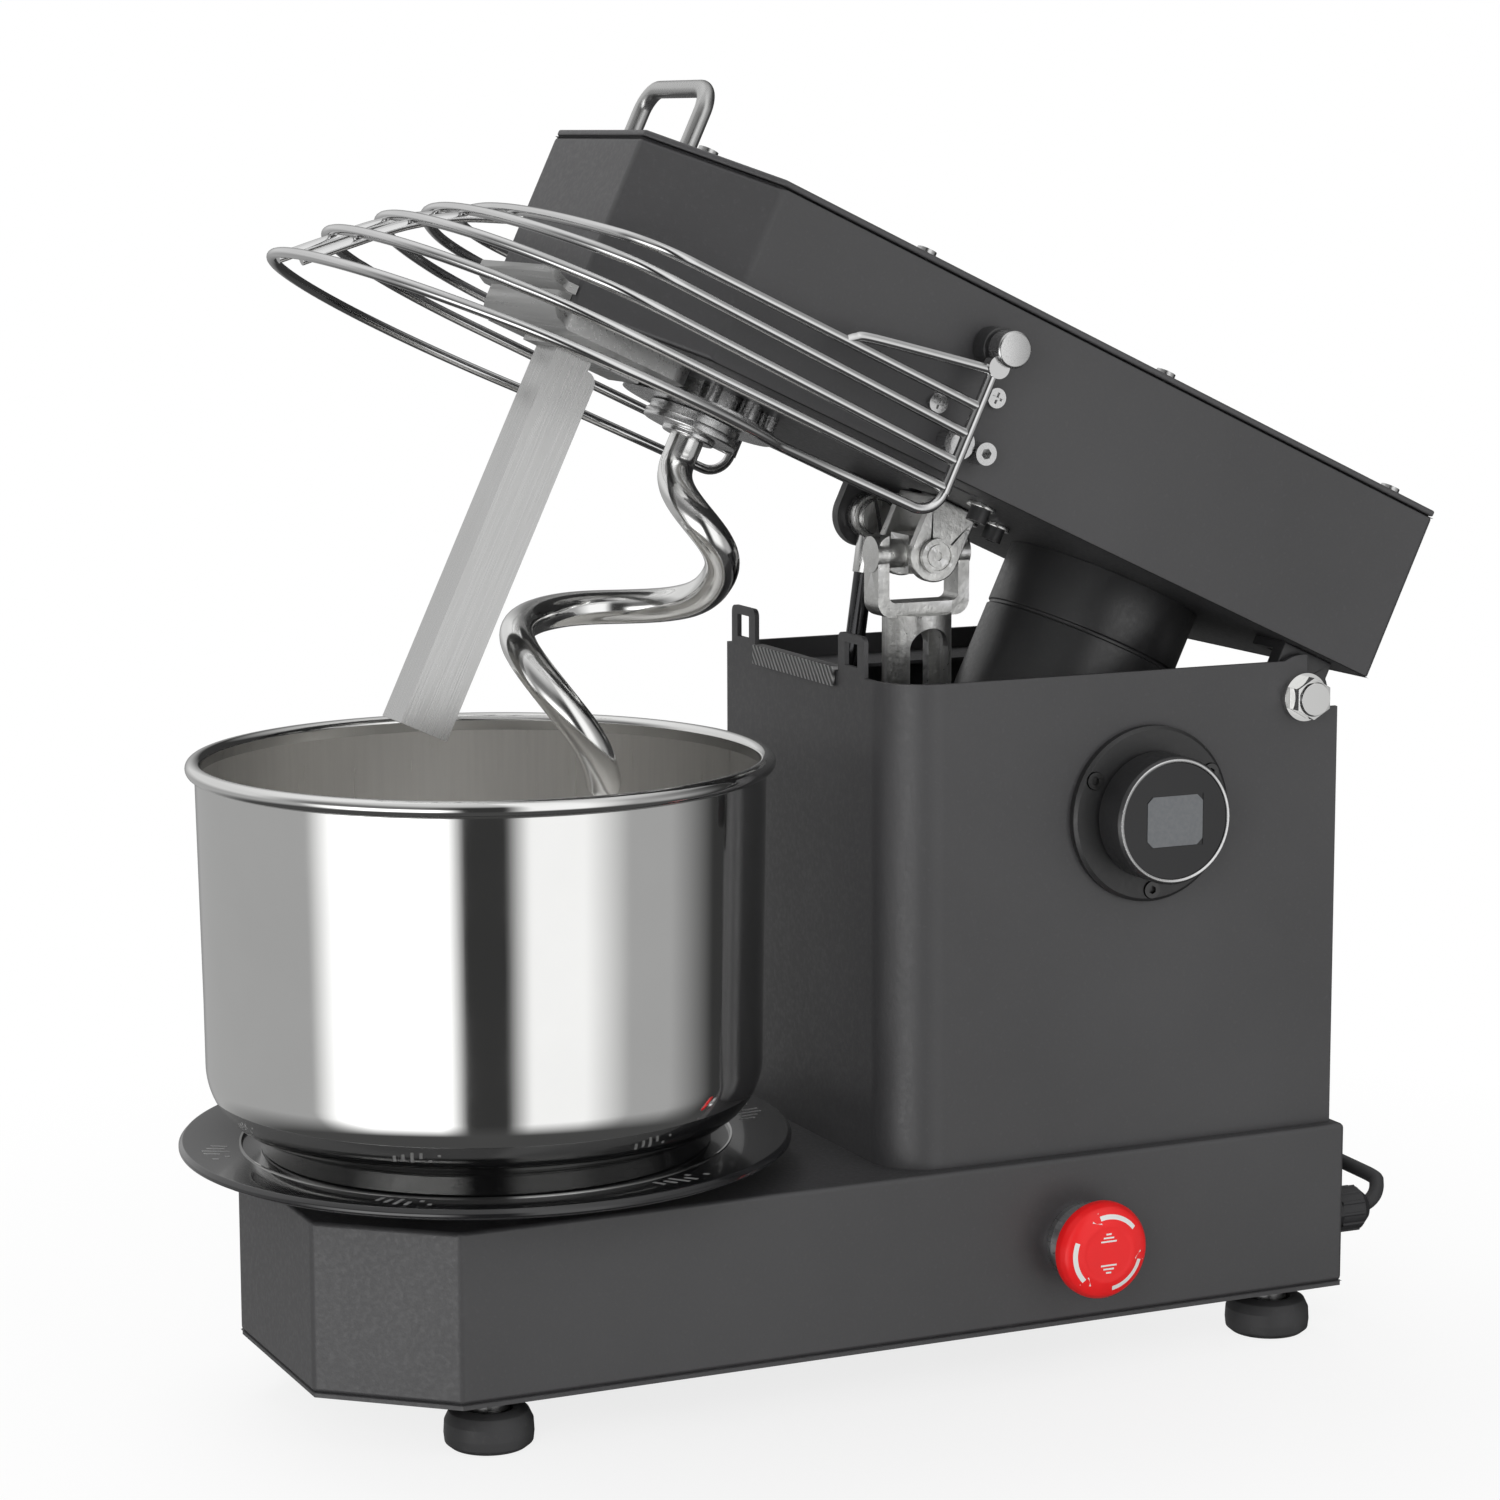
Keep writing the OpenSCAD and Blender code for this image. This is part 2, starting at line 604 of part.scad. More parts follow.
module layshaft() color("Silver") on_head() {
  rod_z(291,352,0,joint_y,14.94);
  belt_wheel(motor_wheel_z,joint_y,72,76,1.5,96);
  belt_wheel(spiral_wheel_z,joint_y,61,66,1.5,96);
}
module layshaft_housing() color("Gray") on_head() difference() {
  z0 = head_bottom+sheet+0.1;
  z1 = head_bottom+6;
  union() {
    rod_z(z0,z1,0,joint_y,60,72);
    rod_z(head_bottom+5,314,0,joint_y,40,72);
    at_points(cap_screw_points) rod_z(z0,z1,0,0,12,32);
    both_sides() block(0,50,joint_y-13,joint_y-1,z0,z1);
  }
  rod_z(280,330,0,joint_y,15,64);
  at_points(cap_screw_points) rod_z(head_bottom,head_bottom+8,0,0,4.4,24);
}
module cap_screws() color("#181818") on_head() at_points(cap_screw_points) difference() {
  union() {
    rod_z(head_bottom-1.6,head_bottom-0.05,0,0,11,40);
    rod_z(head_bottom-7.6,head_bottom-1.5,0,0,8.6,40);
    rod_z(head_bottom-2,head_bottom+7.5,0,0,4.2,24);
  }
  rod_z(head_bottom-9,head_bottom-4.5,0,0,4.6,6);
}
module spiral_belt() color("#1a1a1a") on_head() loop_belt(spiral_y,14.9,joint_y,30.7,337.2,10);

/* ---------------- spiral and breaker bar ---------------- */
module spiral_shaft() color("Silver") on_head() {
  rod_z(276.2,352,0,spiral_y,16.94);
  rod_z(276.2,279.4,0,spiral_y,38,72);
  belt_wheel(spiral_wheel_z,spiral_y,29.2,34,1.5,64);
  rod_z(324,336,0,spiral_y,26,64);
}
module spiral_bearings() color("LightSteelBlue") on_head() for (z=[285,306]) difference() {
  rod_z(z,z+10,0,spiral_y,34.96,64);
  rod_z(z-1,z+12,0,spiral_y,17,64);
}
module on_flange(angles,z) for (a=angles)
  translate([27.3*cos(a),spiral_y+27.3*sin(a),z]) children();
module spiral_bearing_housing() color("Silver") on_head() difference() {
  screws = [20,160,200,340];
  union() {
    rod_z(280,284,0,spiral_y,64,96);
    rod_z(283.9,318,0,spiral_y,44,96);
    rod_z(head_bottom+sheet+0.1,head_bottom+5.5,0,spiral_y,62,96);
    on_flange(concat(screws,[65,115,-65,-115]),283.9) cylinder(d=8,h=7,$fn=32);
  }
  rod_z(284.5,317,0,spiral_y,35,64);
  rod_z(270,330,0,spiral_y,24,64);
  on_flange(screws,270) cylinder(d=3.4,h=14,$fn=24);
}

// [z, angle of the rod round the spiral axis in degrees]
hook_angles = [[124,325],[131,313],[142,291],[151,264],[161,231],[170,196],[176,172],
  [182.5,149],[192.5,116],[203.8,72],[210,46],[216,24],[222,10],[228,0],[235,-24],
  [243,-46],[251,-60],[262,-70],[280,-75]];
// [z, distance from the spiral axis when hook_r is 33]
hook_reaches = [[124,29],[131,31.5],[142,33],[228,33],[235,29.5],[240,22.5],[245,14],
  [250,6.4],[254,2.2],[259,0],[280,0]];
// level directions at 0 and 90 degrees of the angle table
hook_dir_0 = [0.419,0.908];
hook_dir_90 = [-0.908,0.419];
function hook_angle(z) = lookup(z,hook_angles);
function hook_reach(z) = lookup(z,hook_reaches)/33*hook_r;
module spiral_hook() color("Silver") on_head() {
  // angle and reach are averaged over nearby heights to smooth the rod
  path = [for (z=[274:-2:124]) let(
    a = (hook_angle(z-3)+hook_angle(z)+hook_angle(z+3))/3,
    reach = (hook_reach(z-3)+hook_reach(z-1)+hook_reach(z)+hook_reach(z+1)+hook_reach(z+3))/5,
    d = reach*cos(a)*hook_dir_0+reach*sin(a)*hook_dir_90) [d[0],spiral_y+d[1],z]];
  sweep(path,hook_d/2,[1,0,0],20);
  rod_z(272.4,276.1,0,spiral_y,40,96);
  rod_z(270,273,0,spiral_y,22);
}
module breaker_bar() color("Silver") on_head() {
  h = bar_half;
  step_y = bar_y+h-bar_step;
  difference() {
    union() {
      block(-h,h,bar_y-h,bar_y+h,121,276);
      block(-h,h,bar_y-h,step_y,275,head_bottom-2.1);
    }
    // rounded shoulder behind the upper end
    difference() {
      block(-h-1,h+1,step_y,bar_y+h+1,271,277);
      rod_x(-h-2,h+2,step_y,271,10);
    }
  }
}

/* ---------------- universal joint ---------------- */
module upper_yoke() color("LightGray") on_head() difference() {
  union() {
    both_sides() {
      rod_x(12.2,16.6,joint_y,joint_z,22,64);
      block(12.2,16.6,joint_y-11,joint_y+11,joint_z,288.5);
    }
    block(-16.6,16.6,joint_y-10,joint_y+10,285.5,290.4);
  }
  rod_x(-20,20,joint_y,joint_z,12.1);
}
module round_square(w,h,r) translate([r,r]) offset(r=r,$fn=40) square([w-2*r,h-2*r]);
module joint_cup() difference() {
  cylinder(d=14.6,h=2.4,$fn=56);
  up(1.7) difference() {
    cylinder(d=11.8,h=2,$fn=48);
    up(-1) cylinder(d=9.4,h=4,$fn=48);
  }
  up(1.7) cylinder(d=3.6,h=2,$fn=32);
}
// cross piece and lower fork, turned back upright on the tipped head
module lower_yoke() color("LightGray") on_head()
translate([0,joint_y,joint_z]) rotate([open_angle,0,0]) {
  rod_x(-18,18,0,0,12);
  both_sides() rotate([0,90,0]) up(17) joint_cup();
  rotate([90,0,0]) up(-20) cylinder(d=12,h=40,$fn=48);
  translate([-8,-8,-8]) cube([16,16,16]);
  side_extrude(13) difference() {
    translate([-21,-26]) round_square(42,34,6.5);
    translate([-15.9,-20]) round_square(31.8,40,3);
  }
  for (s=[-1,1]) scale([1,s,1]) rod_y(15.9,21.3,0,0,15,56);
  // slotted sleeve
  difference() {
    up(-57) cylinder(r=14.4,h=32,$fn=64);
    up(-60) cylinder(r=11.2,h=32.5,$fn=64);
    translate([-20,-8.8,-60]) cube([40,17.6,21]);
    rod_x(-20,20,0,-39,17.6);
  }
}

/* ---------------- gas strut ---------------- */
// [y, z] of the upper eye with the head tipped, and the strut's lean from upright
strut_eye_open = let(y=strut_eye_y-hinge_y, z=strut_eye_z-hinge_z)
  [hinge_y+y*cos(open_angle)+z*sin(open_angle),hinge_z-y*sin(open_angle)+z*cos(open_angle)];
strut_span = strut_eye_open-[strut_foot_y,strut_foot_z];
strut_lean = atan2(strut_span[0],strut_span[1]);
strut_len = norm(strut_span);
module at_strut()
  placed() translate([strut_x,strut_foot_y,strut_foot_z]) rotate([-strut_lean,0,0]) children();

module gas_strut_tube() color("#141414") at_strut() difference() {
  union() {
    up(8) cylinder(d=15,h=122,$fn=64);
    rod_x(-4,4,0,0,15.6);
    translate([-4,-4,5]) cube([8,8,6]);
    up(128) cylinder(d=12,h=3.4,$fn=48);
  }
  rod_x(-10,10,0,0,11.2);
  up(14) cylinder(d=12,h=114,$fn=64);
  up(120) cylinder(d=8.6,h=20,$fn=48);
}
module gas_strut_rod() color("Silver") at_strut() {
  up(strut_len-128) cylinder(d=8.3,h=128-21,$fn=48);
  up(strut_len-128) cylinder(d=11.6,h=5,$fn=48);
  up(strut_len-21.2) cylinder(d=8,h=12.6,$fn=40);
  difference() {
    rod_x(-3.6,3.6,0,strut_len,19,56);
    rod_x(-6,6,0,strut_len,9.1);
  }
}
module gas_strut_bracket() color("#1c1c1c") on_head() {
  x1 = strut_x-4.2;
  y0 = strut_eye_y-13.5;
  y1 = strut_eye_y+13.5;
  top = head_bottom-0.05;
  rod_x(strut_x-9.4,x1,strut_eye_y,strut_eye_z,27,64);
  block(strut_x-9.4,x1,y0,y1,strut_eye_z,top);
  block(strut_x-11.5,x1,y0,y1,head_bottom-3,top);
  rod_x(strut_x-7,strut_x+5.2,strut_eye_y,strut_eye_z,8.9);
  // slotted pin head
  difference() {
    rod_x(strut_x+4.2,strut_x+7,strut_eye_y,strut_eye_z,15);
    block(strut_x+5.9,strut_x+8,strut_eye_y-10,strut_eye_y+10,strut_eye_z-0.7,strut_eye_z+0.7);
  }
}

/* ---------------- guard ---------------- */
guard_x = 99;      // legs of the guard rings
pivot_y = 133.5;
pivot_z = 343.4;
function arc(x,y,r,a0,a1,n) = [for (i=[0:n]) let(a=a0+(a1-a0)*i/n) [x+r*cos(a),y+r*sin(a),0]];
function mirrored(path) = [for (i=[len(path)-1:-1:0]) [-path[i][0],path[i][1],path[i][2]]];

// one bent wire: a leg, a corner arc, a wide front arc reaching to y = -reach, and the mirror
module ring(reach,corner) {
  x = guard_x-corner;
  front_r = (x*x+reach*reach-corner*corner)/(2*(reach-corner));
  span = asin(x/(front_r-corner));
  half = concat([[guard_x,130,0],[guard_x,65,0]],arc(x,0,corner,0,-(90-span),12));
  front = [for (p=arc(0,front_r-reach,front_r,270+span,270-span,16))
    if (abs(p[0])<x-0.5+corner*sin(span)) p];
  sweep(concat(half,front,mirrored(half)),wire_d/2,[0,0,1],10);
}
// more than half a circle with two straight legs turned up at the back
module low_ring() {
  r = 116;
  a = acos(guard_x/r);
  half = concat([for (t=[66:-11:0]) [guard_x,121+10*sin(t),10-10*cos(t)]],[[guard_x,90,0]]);
  sweep(concat(half,arc(0,0,r,a,-180-a,44),mirrored(half)),wire_d/2,[1,0,0],10);
}
module tilted(z,tilt) translate([0,131,z]) rotate([-tilt,0,0]) translate([0,-131,0]) children();
module wire(start,end,d=wire_d) {
  v = end-start;
  length = norm(v);
  translate(start) rotate([0,acos(v[2]/length),atan2(v[1],v[0])])
    cylinder(d=d,h=length,$fn=12);
}
// rings above the lowest: [z, tilt, reach, corner radius]
guard_rings = [[284,0.5,100,98],[295,1.4,82,60],[306.5,1.5,64,45],[318,0.5,46,30]];
// wires joining the rings at the front: [y, z, y, z] of the two ends
front_wires = [[-114.5,267.2,-98.8,281.6],[-99.5,281.2,-81.6,296.6],
  [-82.2,296.4,-63.4,308],[-64,307.8,-45,315.8]];
module guard_wires() color("Silver") on_head() {
  tilted(272.3,-0.7) low_ring();
  for (r=guard_rings) tilted(r[0],r[1]) ring(r[2],r[3]);
  both_sides() {
    rod_x(guard_x-3.6,guard_x+5.5,pivot_y,pivot_z,14.6,64);
    rod_x(head_side+1,guard_x,pivot_y,pivot_z,7.9);
    rod_z(276.6,333,guard_x,131,wire_d+0.6,12);
    wire([guard_x,130.2,332.2],[guard_x,73,322.6],wire_d-0.3);
    wire([guard_x,75,323.3],[guard_x,68.3,318.2],wire_d-0.9);
    block(guard_x-2.9,guard_x+2.9,127.2,135.6,331.2,339);
    for (w=front_wires) wire([14,w[0],w[1]],[14,w[2],w[3]]);
  }
}
module guard_bosses() color("#1c1c1c") on_head() both_sides() difference() {
  union() {
    rod_x(head_side+0.1,head_side+9.6,pivot_y,pivot_z,16.4,64);
    rod_x(head_side-sheet-7,head_side-sheet-0.1,pivot_y,pivot_z,16.4,6);
  }
  rod_x(head_side-12,head_side+20,pivot_y,pivot_z,8);
}
// guard stop screws and discs, and the cross-head screws beside them
module head_side_screws() color("Silver") on_head() both_sides() translate([head_side,0,0]) {
  difference() {
    rod_x(0.1,10,144.5,303.7,9);
    rod_x(6,12,144.5,303.7,4.4,6);
  }
  difference() {
    rod_x(0.1,8,133,303.2,13,64);
    rod_x(7,9,133,303.2,8);
    block(0,12,139.9,142,295,310);
  }
  block(0.1,3,136,146,301.5,305.5);
  for (q=[[120.8,314.5],[143.4,326.3]]) translate([0,q[0],q[1]]) difference() {
    rod_x(0.1,2.4,0,0,8,40);
    block(1.4,4,-2.3,2.3,-0.5,0.5);
    block(1.4,4,-0.5,0.5,-2.3,2.3);
  }
}

base_housing();
base_plate();
rubber_feet();
foot_screws();
tower_shell();
rest_pad();
inner_tray();
hinge_bolts();
hinge_bushes();
display_bezel();
bezel_screws();
knob_ring();
knob_glass();
display_panel();
knob_encoder();
stop_collar();
stop_mushroom();
stop_stem();
stop_contact_block();
cable_gland();
power_cord();
control_board();
turntable_platter();
turntable_shaft();
base_bearings();
turntable_bearing_housing();
turntable_pulley();
base_belt();
drive_shaft();
drive_bearing_bridge();
bowl();
head_casing();
head_bottom_plate();
head_lid();
lid_screws();
lift_handle();
under_shield();
hinge_brackets();
head_latch();
motor_cover();
motor_body();
motor_pulley();
motor_belt();
layshaft();
layshaft_housing();
cap_screws();
spiral_belt();
spiral_shaft();
spiral_bearings();
spiral_bearing_housing();
spiral_hook();
breaker_bar();
upper_yoke();
lower_yoke();
gas_strut_tube();
gas_strut_rod();
gas_strut_bracket();
guard_wires();
guard_bosses();
head_side_screws();
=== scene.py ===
"""Looks for a tilt-head machine: a bowl on a turntable in the base, with a spiral hook and a
wire guard hung from a head that is tilted open.

Lengths are in millimetres unless noted, and two frames turn them into metres. X points to the
machine's right, -Y to its front and Z up. CAD pieces without a new mesh keep their own, with
bevels and materials added.
"""
import bpy, bmesh, math, json
from math import radians as rad
from mathutils import Matrix, Vector

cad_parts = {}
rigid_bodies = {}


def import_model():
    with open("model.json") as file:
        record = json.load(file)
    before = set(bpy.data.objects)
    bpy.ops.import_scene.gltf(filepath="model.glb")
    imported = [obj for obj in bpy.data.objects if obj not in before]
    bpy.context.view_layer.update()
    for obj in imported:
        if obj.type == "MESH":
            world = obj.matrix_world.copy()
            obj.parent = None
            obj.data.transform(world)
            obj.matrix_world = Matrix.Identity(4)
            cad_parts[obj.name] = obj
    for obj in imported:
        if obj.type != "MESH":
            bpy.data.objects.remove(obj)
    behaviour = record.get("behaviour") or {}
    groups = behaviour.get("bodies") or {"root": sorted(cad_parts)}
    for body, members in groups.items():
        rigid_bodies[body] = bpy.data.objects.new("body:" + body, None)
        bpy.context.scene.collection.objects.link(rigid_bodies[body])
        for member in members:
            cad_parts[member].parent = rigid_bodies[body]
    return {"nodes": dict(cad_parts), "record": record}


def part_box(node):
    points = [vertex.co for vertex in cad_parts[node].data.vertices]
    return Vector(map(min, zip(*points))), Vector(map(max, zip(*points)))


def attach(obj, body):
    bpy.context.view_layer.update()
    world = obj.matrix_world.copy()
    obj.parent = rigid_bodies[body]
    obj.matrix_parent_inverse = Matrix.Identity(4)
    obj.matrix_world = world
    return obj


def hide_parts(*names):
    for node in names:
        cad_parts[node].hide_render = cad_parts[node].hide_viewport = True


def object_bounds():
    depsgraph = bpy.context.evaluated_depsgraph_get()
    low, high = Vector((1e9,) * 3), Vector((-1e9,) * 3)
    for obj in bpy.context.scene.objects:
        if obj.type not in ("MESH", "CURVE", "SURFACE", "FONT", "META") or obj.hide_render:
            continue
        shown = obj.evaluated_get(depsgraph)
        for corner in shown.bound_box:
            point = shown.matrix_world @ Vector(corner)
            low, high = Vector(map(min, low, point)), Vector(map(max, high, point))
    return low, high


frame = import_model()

CAD_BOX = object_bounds()
RECORD = frame["record"]
SLOT = {part["node"]: part["material_slot"] for part in RECORD["subparts"]}
TILT = next(joint for joint in RECORD["behaviour"]["joints"] if joint["name"] == "head_tilt")

# ---------------------------------------------------------------- frames
HINGE_Y, HINGE_Z = 330.0, 273.0
Y_SHIFT = HINGE_Y - TILT["pos_m"][1] * 1000.0  # between the script's Y and the record's Y
OPEN = -TILT["range_deg"][0]  # degrees the head is tilted open


def move(x, y, z):
    return Matrix.Translation((x, y, z))


def turn(degrees, axis):
    return Matrix.Rotation(rad(degrees), 4, axis)


TO_METRES = Matrix.Scale(0.001, 4)
BASE = TO_METRES @ move(0, -Y_SHIFT, 0)
HEAD = BASE @ move(0, HINGE_Y, HINGE_Z) @ turn(-OPEN, "X") @ move(0, -HINGE_Y, -HINGE_Z)
SIDES = ((1, "right"), (-1, "left"))


# ---------------------------------------------------------------- mesh helpers
def make_object(name, mesh, place, angle=35):
    """Object from (vertices, faces); edges over the angle are sharp, None leaves it unsmoothed."""
    vertices, faces = mesh
    data = bpy.data.meshes.new(name)
    data.from_pydata([tuple(v) for v in vertices], [], faces)
    data.update()
    bm = bmesh.new()
    bm.from_mesh(data)
    bmesh.ops.remove_doubles(bm, verts=bm.verts, dist=1e-5)
    bmesh.ops.recalc_face_normals(bm, faces=bm.faces)
    bm.to_mesh(data)
    bm.free()
    data.transform(place)
    if angle is not None:
        data.shade_smooth()
        data.set_sharp_from_angle(angle=rad(angle))
    obj = bpy.data.objects.new(name, data)
    bpy.context.scene.collection.objects.link(obj)
    return obj


def fillet(outline, radii, steps=6):
    """Rounds the corners of a closed 2-D outline; radii is one number or one a corner."""
    out = []
    for i, point in enumerate(outline):
        radius = radii[i] if isinstance(radii, (list, tuple)) else radii
        if radius <= 0:
            out.append(point)
            continue
        corner = Vector(point)
        back = Vector(outline[i - 1]) - corner
        ahead = Vector(outline[(i + 1) % len(outline)]) - corner
        back_len, ahead_len = back.length, ahead.length
        back, ahead = back / back_len, ahead / ahead_len
        angle = math.acos(max(-1, min(1, back.dot(ahead))))
        if angle > rad(176) or angle < rad(4):
            out.append(point)
            continue
        # the arc never takes more than about half of either edge
        cut = min(radius / math.tan(angle / 2), back_len * 0.48, ahead_len * 0.48)
        fitted = cut * math.tan(angle / 2)
        centre = corner + (back + ahead).normalized() * (fitted / math.sin(angle / 2))
        start = corner + back * cut - centre
        sweep = start.angle_signed(corner + ahead * cut - centre)
        for k in range(steps + 1):
            t = -sweep * k / steps
            spoke = Vector((start.x * math.cos(t) - start.y * math.sin(t),
                            start.x * math.sin(t) + start.y * math.cos(t)))
            out.append(tuple(centre + spoke))
    return out


def lathe(name, outline, place, segments, angle=35):
    """Turns a closed outline of (radius, z) points about Z."""
    vertices, faces = [], []
    n = len(outline)
    for j in range(segments):
        a = 2 * math.pi * j / segments
        vertices += [(r * math.cos(a), r * math.sin(a), z) for r, z in outline]
    for j in range(segments):
        k = (j + 1) % segments
        for i in range(n):
            m = (i + 1) % n
            if outline[i][0] > 1e-6 or outline[m][0] > 1e-6:
                faces.append((j * n + i, k * n + i, k * n + m, j * n + m))
    return make_object(name, (vertices, faces), place, angle)


def tube(path, radius, side, around):
    """Mesh of a capped round bar; radius is a number or one a point, side sets the first spoke."""
    path = [Vector(p) for p in path]
    last = len(path) - 1
    tangents = [(path[min(i + 1, last)] - path[max(i - 1, 0)]).normalized()
                for i in range(len(path))]
    side = Vector(side)
    side = (side - side.dot(tangents[0]) * tangents[0]).normalized()
    vertices, faces = [], []
    for i, (point, tangent) in enumerate(zip(path, tangents)):
        side = (side - side.dot(tangent) * tangent).normalized()
        other = tangent.cross(side)
        r = radius[i] if isinstance(radius, list) else radius
        for j in range(around):
            a = 2 * math.pi * j / around
            vertices.append(point + r * (math.cos(a) * side + math.sin(a) * other))
    for i in range(last):
        here, ahead = i * around, (i + 1) * around
        for j in range(around):
            k = (j + 1) % around
            faces.append((here + j, here + k, ahead + k, ahead + j))
    faces.append(tuple(range(around - 1, -1, -1)))
    faces.append(tuple(last * around + j for j in range(around)))
    return vertices, faces


def join_parts(parts):
    vertices, faces = [], []
    for part_vertices, part_faces in parts:
        start = len(vertices)
        vertices += list(part_vertices)
        faces += [tuple(i + start for i in face) for face in part_faces]
    return vertices, faces


def spline(points, steps=6):
    """Catmull-Rom curve through the points."""
    points = [Vector(p) for p in points]
    last = len(points) - 1
    out = []
    for i in range(last):
        p0, p1, p2, p3 = (points[max(i - 1, 0)], points[i], points[i + 1],
                          points[min(i + 2, last)])
        for k in range(steps):
            t = k / steps
            out.append(0.5 * ((2 * p1) + (p2 - p0) * t + (2 * p0 - 5 * p1 + 4 * p2 - p3) * t * t
                              + (3 * p1 - p0 - 3 * p2 + p3) * t ** 3))
    out.append(points[-1])
    return out


def mirror(path):
    """The path mirrored in X, run backwards so that it can close or continue the original."""
    return [Vector((-p.x, p.y, p.z)) for p in reversed(path)]


# ---------------------------------------------------------------- shader node helpers
class Nodes:
    """Short calls for building a node tree."""

    def __init__(self, tree):
        self.tree = tree

    def add(self, kind, **settings):
        node = self.tree.nodes.new(kind)
        for name, value in settings.items():
            setattr(node, name, value)
        return node

    def link(self, source, target):
        self.tree.links.new(source, target)

    def remap(self, source, to=(0.0, 1.0), span=(0.3, 0.7)):
        """Maps the span of the source onto the range to."""
        node = self.add("ShaderNodeMapRange")
        for socket, value in zip(("From Min", "From Max", "To Min", "To Max"), (*span, *to)):
            node.inputs[socket].default_value = value
        self.link(source, node.inputs["Value"])
        return node.outputs["Result"]

    def mix(self, factor, first, second):
        """Mixes two colours, each an RGB tuple or a socket."""
        node = self.add("ShaderNodeMix", data_type="RGBA")
        for socket, value in ((6, first), (7, second)):
            if isinstance(value, tuple):
                node.inputs[socket].default_value = (*value, 1)
            else:
                self.link(value, node.inputs[socket])
        self.link(factor, node.inputs[0])
        return node.outputs[2]


class MaterialNodes(Nodes):
    def __init__(self, name):
        self.material = bpy.data.materials.new(name)
        self.material.use_nodes = True
        super().__init__(self.material.node_tree)
        self.shader = self.tree.nodes["Principled BSDF"]
        self.coordinates = self.add("ShaderNodeTexCoord")

    def noise(self, scale, detail=3.0, rough=0.5, stretch=(1, 1, 1), tilt=None):
        mapping = self.add("ShaderNodeMapping")
        if tilt is not None:  # grain along a tilted piece: undo the tilt, then stretch
            mapping.vector_type = "TEXTURE"
            mapping.inputs["Rotation"].default_value = tilt
            stretch = tuple(1 / v for v in stretch)
        mapping.inputs["Scale"].default_value = stretch
        self.link(self.coordinates.outputs["Object"], mapping.inputs["Vector"])
        node = self.add("ShaderNodeTexNoise")
        node.inputs["Scale"].default_value = scale
        node.inputs["Detail"].default_value = detail
        node.inputs["Roughness"].default_value = rough
        self.link(mapping.outputs["Vector"], node.inputs["Vector"])
        return node.outputs["Fac"]

    def bump(self, height, strength, distance, under=None):
        node = self.add("ShaderNodeBump")
        node.inputs["Strength"].default_value = strength
        node.inputs["Distance"].default_value = distance
        self.link(height, node.inputs["Height"])
        if under:
            self.link(under, node.inputs["Normal"])
        return node.outputs["Normal"]

    def shade(self, **inputs):
        """Sets inputs of the main shader, each to a float or from a socket."""
        for name, value in inputs.items():
            socket = self.shader.inputs[name.replace("_", " ")]
            if isinstance(value, float):
                socket.default_value = value
            else:
                self.link(value, socket)


def tint(color, factor):
    return tuple(min(1, c * factor) for c in color)


# ---------------------------------------------------------------- material kinds
def powder(color, spread=0.12, rough=0.46):
    """Powder paint with a light grain."""
    def build(n):
        cloud = n.noise(scale=9)
        fine = n.noise(scale=1500, detail=2)
        grain = n.noise(scale=520, detail=4, rough=0.6)
        base = n.mix(n.remap(cloud), tint(color, 1 - spread), tint(color, 1 + spread))
        base = n.mix(n.remap(grain, to=(0.0, 0.35), span=(0.55, 0.75)), base, tint(color, 1.9))
        normal = n.bump(grain, strength=0.16, distance=0.00035)
        normal = n.bump(fine, strength=0.10, distance=0.00012, under=normal)
        n.shade(Base_Color=base, Roughness=n.remap(grain, to=(rough - 0.05, rough + 0.10)),
                Normal=normal, Specular_IOR_Level=0.80)
    return build


def polished(color, rough, wave):
    """Bright metal with faint smears; wave is the strength of its broad unevenness."""
    def build(n):
        smear = n.noise(scale=22, detail=4, rough=0.55)
        fine = n.noise(scale=900, detail=2, stretch=(1, 1, 0.06))
        normal = n.bump(n.noise(scale=14, detail=2), strength=wave, distance=0.0012)
        normal = n.bump(fine, strength=0.02, distance=0.00006, under=normal)
        n.shade(Base_Color=n.mix(n.remap(smear), tint(color, 0.965), color),
                Roughness=n.remap(smear, to=(rough * 0.7, rough * 1.9)),
                Normal=normal, Metallic=1.0)
    return build


def brushed(color, rough, stretch, scale=900, strength=0.10, tilt=None, spread=0.10):
    """Metal with a grain drawn out along the axis of the smallest stretch."""
    def build(n):
        lines = n.noise(scale=scale, rough=0.6, stretch=stretch, tilt=tilt)
        blot = n.noise(scale=18)
        base = n.mix(n.remap(lines), tint(color, 1 - spread), tint(color, 1 + spread / 2))
        base = n.mix(n.remap(blot, to=(0.0, 0.15)), base, tint(color, 0.86))
        n.shade(Base_Color=base, Roughness=n.remap(lines, to=(rough - 0.06, rough + 0.10)),
                Normal=n.bump(lines, strength=strength, distance=0.00010),
                Metallic=1.0, Anisotropic=0.4)
    return build


def plastic(color, rough, **coat):
    def build(n):
        cloud = n.noise(scale=30)
        fine = n.noise(scale=1600, detail=2)
        n.shade(Base_Color=n.mix(n.remap(cloud), tint(color, 0.93), tint(color, 1.05)),
                Roughness=n.remap(cloud, to=(rough - 0.05, rough + 0.07)),
                Normal=n.bump(fine, strength=0.10, distance=0.00008), **coat)
    return build


